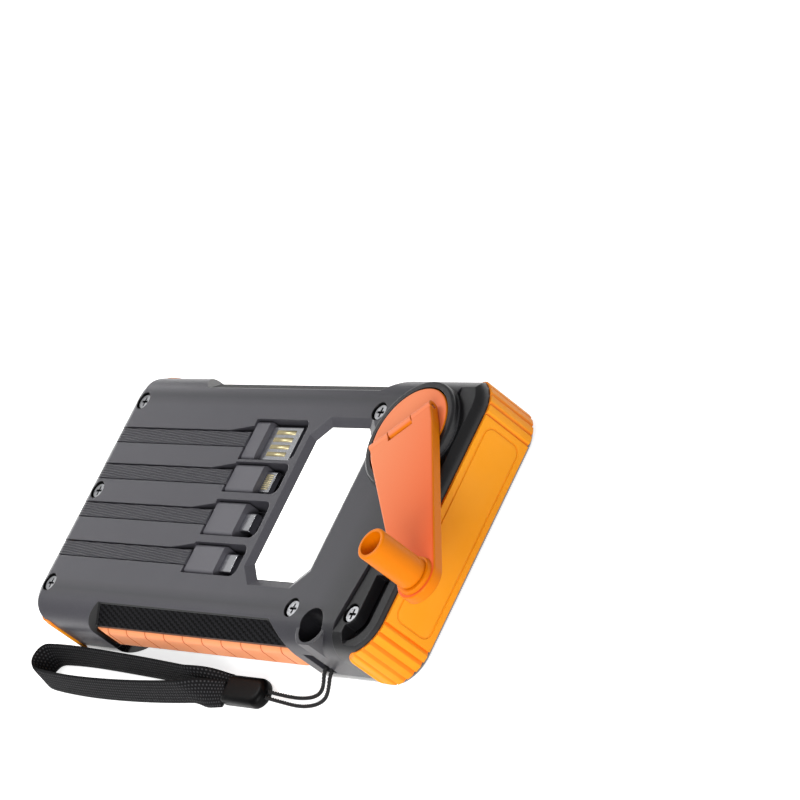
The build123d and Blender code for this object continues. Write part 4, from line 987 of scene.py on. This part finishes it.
cell_sheet()
flap_cover()
clasp_piece = clasp()
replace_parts(rope("cord_strand_1", cord_1_route), "strap_cord_1")
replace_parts(rope("cord_strand_2", cord_2_route), "strap_cord_2")
webbing()
for index in range(len(lead_centres)):
    lead_cover(index)
plug_contacts()
power_mark()


# ---------------------------------------------------------------- floor, light and camera


def floor():
    """A pale floor that looks white to the camera and keeps the shadow."""
    bpy.ops.mesh.primitive_plane_add(size=floor_size)
    piece = bpy.context.object
    piece.name = "floor"
    finish = Finish("floor_pale", (240, 240, 240), 0.9)
    path = finish.nodes.new("ShaderNodeLightPath")
    seen = finish.math("MAXIMUM", path.outputs["Is Camera Ray"], path.outputs["Is Glossy Ray"])
    finish.surface.inputs["Emission Color"].default_value = (1, 1, 1, 1)
    glow = finish.math("MULTIPLY", seen, floor_glow)
    finish.links.new(glow, finish.surface.inputs["Emission Strength"])
    piece.data.materials.append(finish.material)


def world():
    """White where the camera sees it, and a plain soft light on the object."""
    space = bpy.data.worlds.new("studio")
    bpy.context.scene.world = space
    space.use_nodes = True
    tree = space.node_tree
    background = tree.nodes["Background"]
    background.inputs["Color"].default_value = (1, 1, 1, 1)
    path = tree.nodes.new("ShaderNodeLightPath")
    seen = tree.nodes.new("ShaderNodeMath")
    seen.operation = "MAXIMUM"
    tree.links.new(path.outputs["Is Camera Ray"], seen.inputs[0])
    tree.links.new(path.outputs["Is Transmission Ray"], seen.inputs[1])
    strength = tree.nodes.new("ShaderNodeMapRange")
    tree.links.new(seen.outputs[0], strength.inputs["Value"])
    strength.inputs["To Min"].default_value = world_light
    strength.inputs["To Max"].default_value = 1.0
    tree.links.new(strength.outputs["Result"], background.inputs["Strength"])


def soft_light(name, place, aim, width, height, watts):
    data = bpy.data.lights.new(name, "AREA")
    data.shape = "RECTANGLE"
    data.size, data.size_y, data.energy = width * MM, height * MM, watts
    lamp = bpy.data.objects.new(name, data)
    bpy.context.scene.collection.objects.link(lamp)
    turn = (Vector(aim) - Vector(place)).normalized().to_track_quat("-Z", "Y").to_matrix()
    lamp.matrix_world = Matrix.Translation(Vector(place) * MM) @ turn.to_4x4()


def camera():
    data = bpy.data.cameras.new("camera")
    data.sensor_width = sensor_width
    data.lens = focal_pixels / frame_pixels * sensor_width
    data.clip_start, data.clip_end = camera_near, camera_far
    holder = bpy.data.objects.new("camera", data)
    bpy.context.scene.collection.objects.link(holder)
    look = (camera_aim - camera_place).normalized().to_track_quat("-Z", "Y").to_matrix()
    turned = look @ Matrix.Rotation(math.radians(camera_roll), 3, "Z")
    holder.matrix_world = Matrix.Translation(camera_place * MM) @ turned.to_4x4()
    bpy.context.scene.camera = holder


floor()
world()
for lamp in lamps:
    soft_light(*lamp)
camera()
bpy.context.scene.view_settings.view_transform = "Standard"
